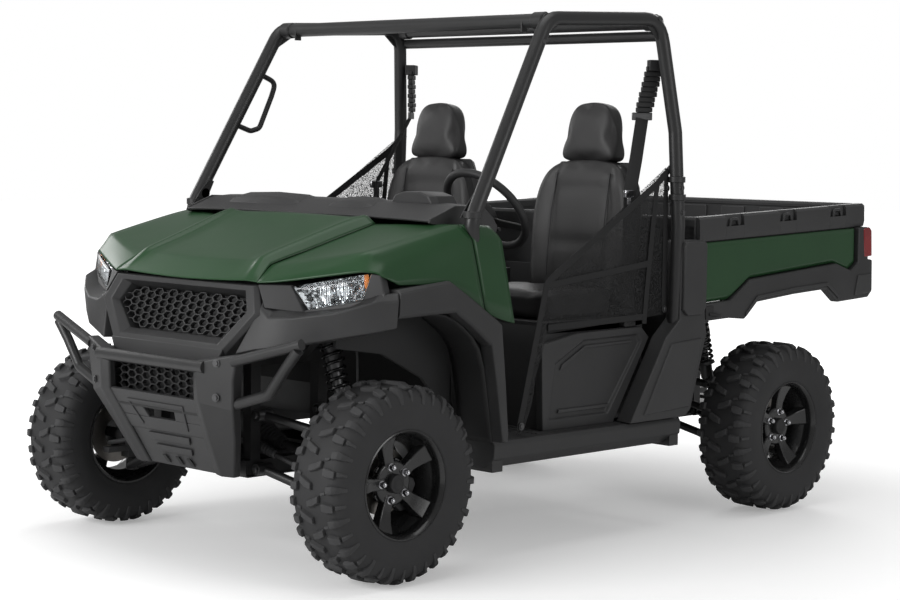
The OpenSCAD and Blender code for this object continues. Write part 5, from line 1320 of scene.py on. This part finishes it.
bed_piece("gate_panel", joined(box((-gx, gy, 0.8485), (gx, gy + 0.026, 1.124)),
    prism([(gy - 0.002, 1.105), (gy - 0.002, 1.122), (gy + 0.006, 1.129), (gy + 0.024, 1.129),
        (gy + 0.0295, 1.120), (gy + 0.0295, 1.100)], "x", -gx, gx)), PLASTIC, body="gate", smooth=25,
        bevel=0.004, segments=3, replaces=["tailgate"])
bed_piece("gate_field", joined(*[prism([(x0, 0.89), (x0, 1.08), (x0 + 0.36, 1.08), (x0 + 0.36, 0.89)],
    "y", gy + 0.024, gy + 0.0295) for x0 in (-0.62, 0.26)],
                               *gate_ribs), PLASTIC, body="gate", smooth=25, bevel=0.003)
bed_piece("gate_handle", joined(box((-0.14, gy + 0.024, 1.02), (0.14, gy + 0.030, 1.09)),
    tube([(-0.09, gy + 0.03, 1.045), (-0.08, gy + 0.036, 1.045), (0.08, gy + 0.036, 1.045),
        (0.09, gy + 0.03, 1.045)], 0.006, 12)), DARK, body="gate", smooth=40, bevel=0.004)
bed_piece("gate_pins", twin(tube([(0.664, b1 - 0.010, 0.862), (0.680, b1 - 0.010, 0.862)], 0.008, 16)),
    ZINC, "frame_black", "gate", smooth=50)

# ---------------------------------------------------------------- under the body


def coil(top, foot, r, wire, turns, sides=8):
    """A coil spring between two points."""
    top, foot = Vector(top), Vector(foot)
    m = (foot - top).to_track_quat("Z", "Y").to_matrix().to_4x4()
    n = turns * 18
    length = (foot - top).length
    pts = [Matrix.Translation(top) @ m @ Vector((r * cos(2 * pi * k / 18), r * sin(2 * pi * k / 18),
        length * k / n)) for k in range(n + 1)]
    return tube(pts, wire, sides)


SHARE = (0.475 - 0.2793) / (0.602 - 0.2793)
seat_dy = 0.130 + (0.012 - 0.130) * SHARE
seat_z = 0.500 + (0.432 - 0.500) * SHARE
for end, t3, b3 in (("front", (0.400, YF + 0.040, 0.792), (0.475, YF + seat_dy, seat_z)),
                    ("rear", (0.450, YR - 0.110, 0.752), (0.475, YR - seat_dy, seat_z))):
    t3, b3 = Vector(t3), Vector(b3)
    d = (b3 - t3).normalized()
    length = (b3 - t3).length
    m = Matrix.Translation(t3) @ d.to_track_quat("Z", "Y").to_matrix().to_4x4()
    body = joined(lathe([(0.0, 0.012), (0.04, 0.012), (0.04, 0.037), (0.052, 0.039), (0.056, 0.026),
        (0.15, 0.026), (0.155, 0.018), (length - 0.10, 0.018), (length - 0.095, 0.037),
        (length - 0.085, 0.039), (length - 0.080, 0.025), (length - 0.03, 0.024),
        (length - 0.02, 0.012), (length, 0.012)], "z", (0, 0, 0), 28))
    piece(f"dampers_{end}", *moved(body, m), ZINC, slot="shock_black", smooth=40, mirror=True,
        replaces=[f"{end}_shocks"])
    piece(f"springs_{end}", *coil(t3 + d * 0.056, b3 - d * 0.097, 0.0325, 0.0058, 7), SHOCK,
        slot="shock_black", smooth=60, mirror=True)
    piece(f"damper_bolts_{end}",
        *joined(*[moved(lathe([(-0.022, 0.010), (0.022, 0.010)], "y", (0, 0, 0), 16),
            Matrix.Translation(p)) for p in (t3, b3)]), ZINC, slot="shock_black", smooth=40, mirror=True)
for end, y in (("front", YF), ("rear", YR)):
    inner, tip = Vector((0.120, y, 0.412)), Vector((KING_X - 0.034, y, AXLE))
    v = (tip - inner).normalized()
    rings = []
    for start, sgn in ((inner + v * 0.020, 1), (tip - v * 0.030, -1)):
        m = Matrix.Translation(start) @ (v * sgn).to_track_quat("Z", "Y").to_matrix().to_4x4()
        prof = [(0.0, 0.043)]
        for k in range(6):
            r = 0.044 - 0.0035 * k
            prof += [(0.008 + 0.014 * k, r), (0.015 + 0.014 * k, r - 0.007)]
        rings.append(moved(lathe(prof + [(0.10, 0.017)], "z", (0, 0, 0), 28), m))
    piece(f"shaft_boots_{end}", *joined(*rings), RUBBER, slot="bare_grey", smooth=50, mirror=True)
    pins = []
    for sgn in (-1, 1):
        for z in (0.322, 0.500):
            pins.append(bolt((0.2793, y + sgn * 0.130 - 0.0285, z), (0, -1, 0), 0.011, 0.009))
            pins.append(lathe([(-0.030, 0.0195), (0.030, 0.0195)], "y", (0.2793, y + sgn * 0.130, z), 24))
    piece(f"arm_bushes_{end}", *joined(*pins), ZINC, slot="frame_black", smooth=40, mirror=True)
    ball = [lathe([(0.228, 0.022), (0.236, 0.020), (0.246, 0.012)], "z", (KING_X, y, 0), 20),
            lathe([(0.402, 0.012), (0.412, 0.020), (0.418, 0.022)], "z", (KING_X, y, 0), 20)]
    piece(f"ball_boots_{end}", *joined(*ball), RUBBER, slot="bare_grey", smooth=50, mirror=True)
hose = [(0.560, YF + 0.02, 0.820), (0.556, YF + 0.03, 0.700), (0.545, YF + 0.045, 0.560),
    (0.520, YF + 0.045, 0.470), (0.505, YF + 0.043, 0.438)]
piece("brake_lines", *tube(hose, 0.004, 10, bend=0.06), RUBBER, slot="shock_black", smooth=60, mirror=True)
rack = [moved(lathe([(0.0, 0.017)] + [q for k in range(6)
    for q in ((0.006 + 0.014 * k, 0.021 - 0.0012 * k), (0.013 + 0.014 * k, 0.016 - 0.001 * k))], "z",
    (0, 0, 0), 24), Matrix.Translation((0.236, YF - 0.102, 0.388))
    @ Vector((0.366, -0.006, -0.080)).to_track_quat("Z", "Y").to_matrix().to_4x4())]
piece("rack_boots", *joined(*rack), RUBBER, slot="bare_grey", smooth=50, mirror=True)
fins = [box((-0.205, CAB_REAR - 0.40 + 0.05 * i, 0.40), (0.205, CAB_REAR - 0.385 + 0.05 * i, 0.63))
    for i in range(9)]
piece("engine_fins", *joined(*fins, lathe([(-0.24, 0.10), (-0.225, 0.115), (-0.20, 0.115)], "x",
    (0, CAB_REAR - 0.28, 0.50), 40), lathe([(-0.24, 0.085), (-0.225, 0.10), (-0.20, 0.10)], "x",
        (0, CAB_REAR - 0.06, 0.50), 40)), ALLOY, slot="engine_grey", smooth=40, bevel=0.002)
piece("tail_pipe", *joined(tube([(0.10, 1.15, 0.600), (0.10, 1.21, 0.560), (0.10, 1.26, 0.545)], 0.022,
    24, bend=0.03), lathe([(-0.205, 0.070), (-0.200, 0.0765), (-0.19, 0.0765)], "x", (0, 1.11, 0.61), 48),
                           lathe([(0.19, 0.0765), (0.200, 0.0765), (0.205, 0.070)], "x",
                               (0, 1.11, 0.61), 48),
                               lathe([(-0.08, 0.0770), (-0.06, 0.0770)], "x", (0, 1.11, 0.61), 48),
                           lathe([(0.06, 0.0770), (0.08, 0.0770)], "x", (0, 1.11, 0.61), 48)),
      STEEL, slot="exhaust_steel", smooth=40)

# ---------------------------------------------------------------- floor and finish

ground = bpy.data.meshes.new("ground")
ground.from_pydata([(-30, -30, -0.001), (30, -30, -0.001), (30, 30, -0.001), (-30, 30, -0.001)], [],
    [[0, 1, 2, 3]])
ground.materials.append(FLOOR)
ground_o = bpy.data.objects.new("ground", ground)
bpy.context.scene.collection.objects.link(ground_o)

bpy.context.view_layer.update()
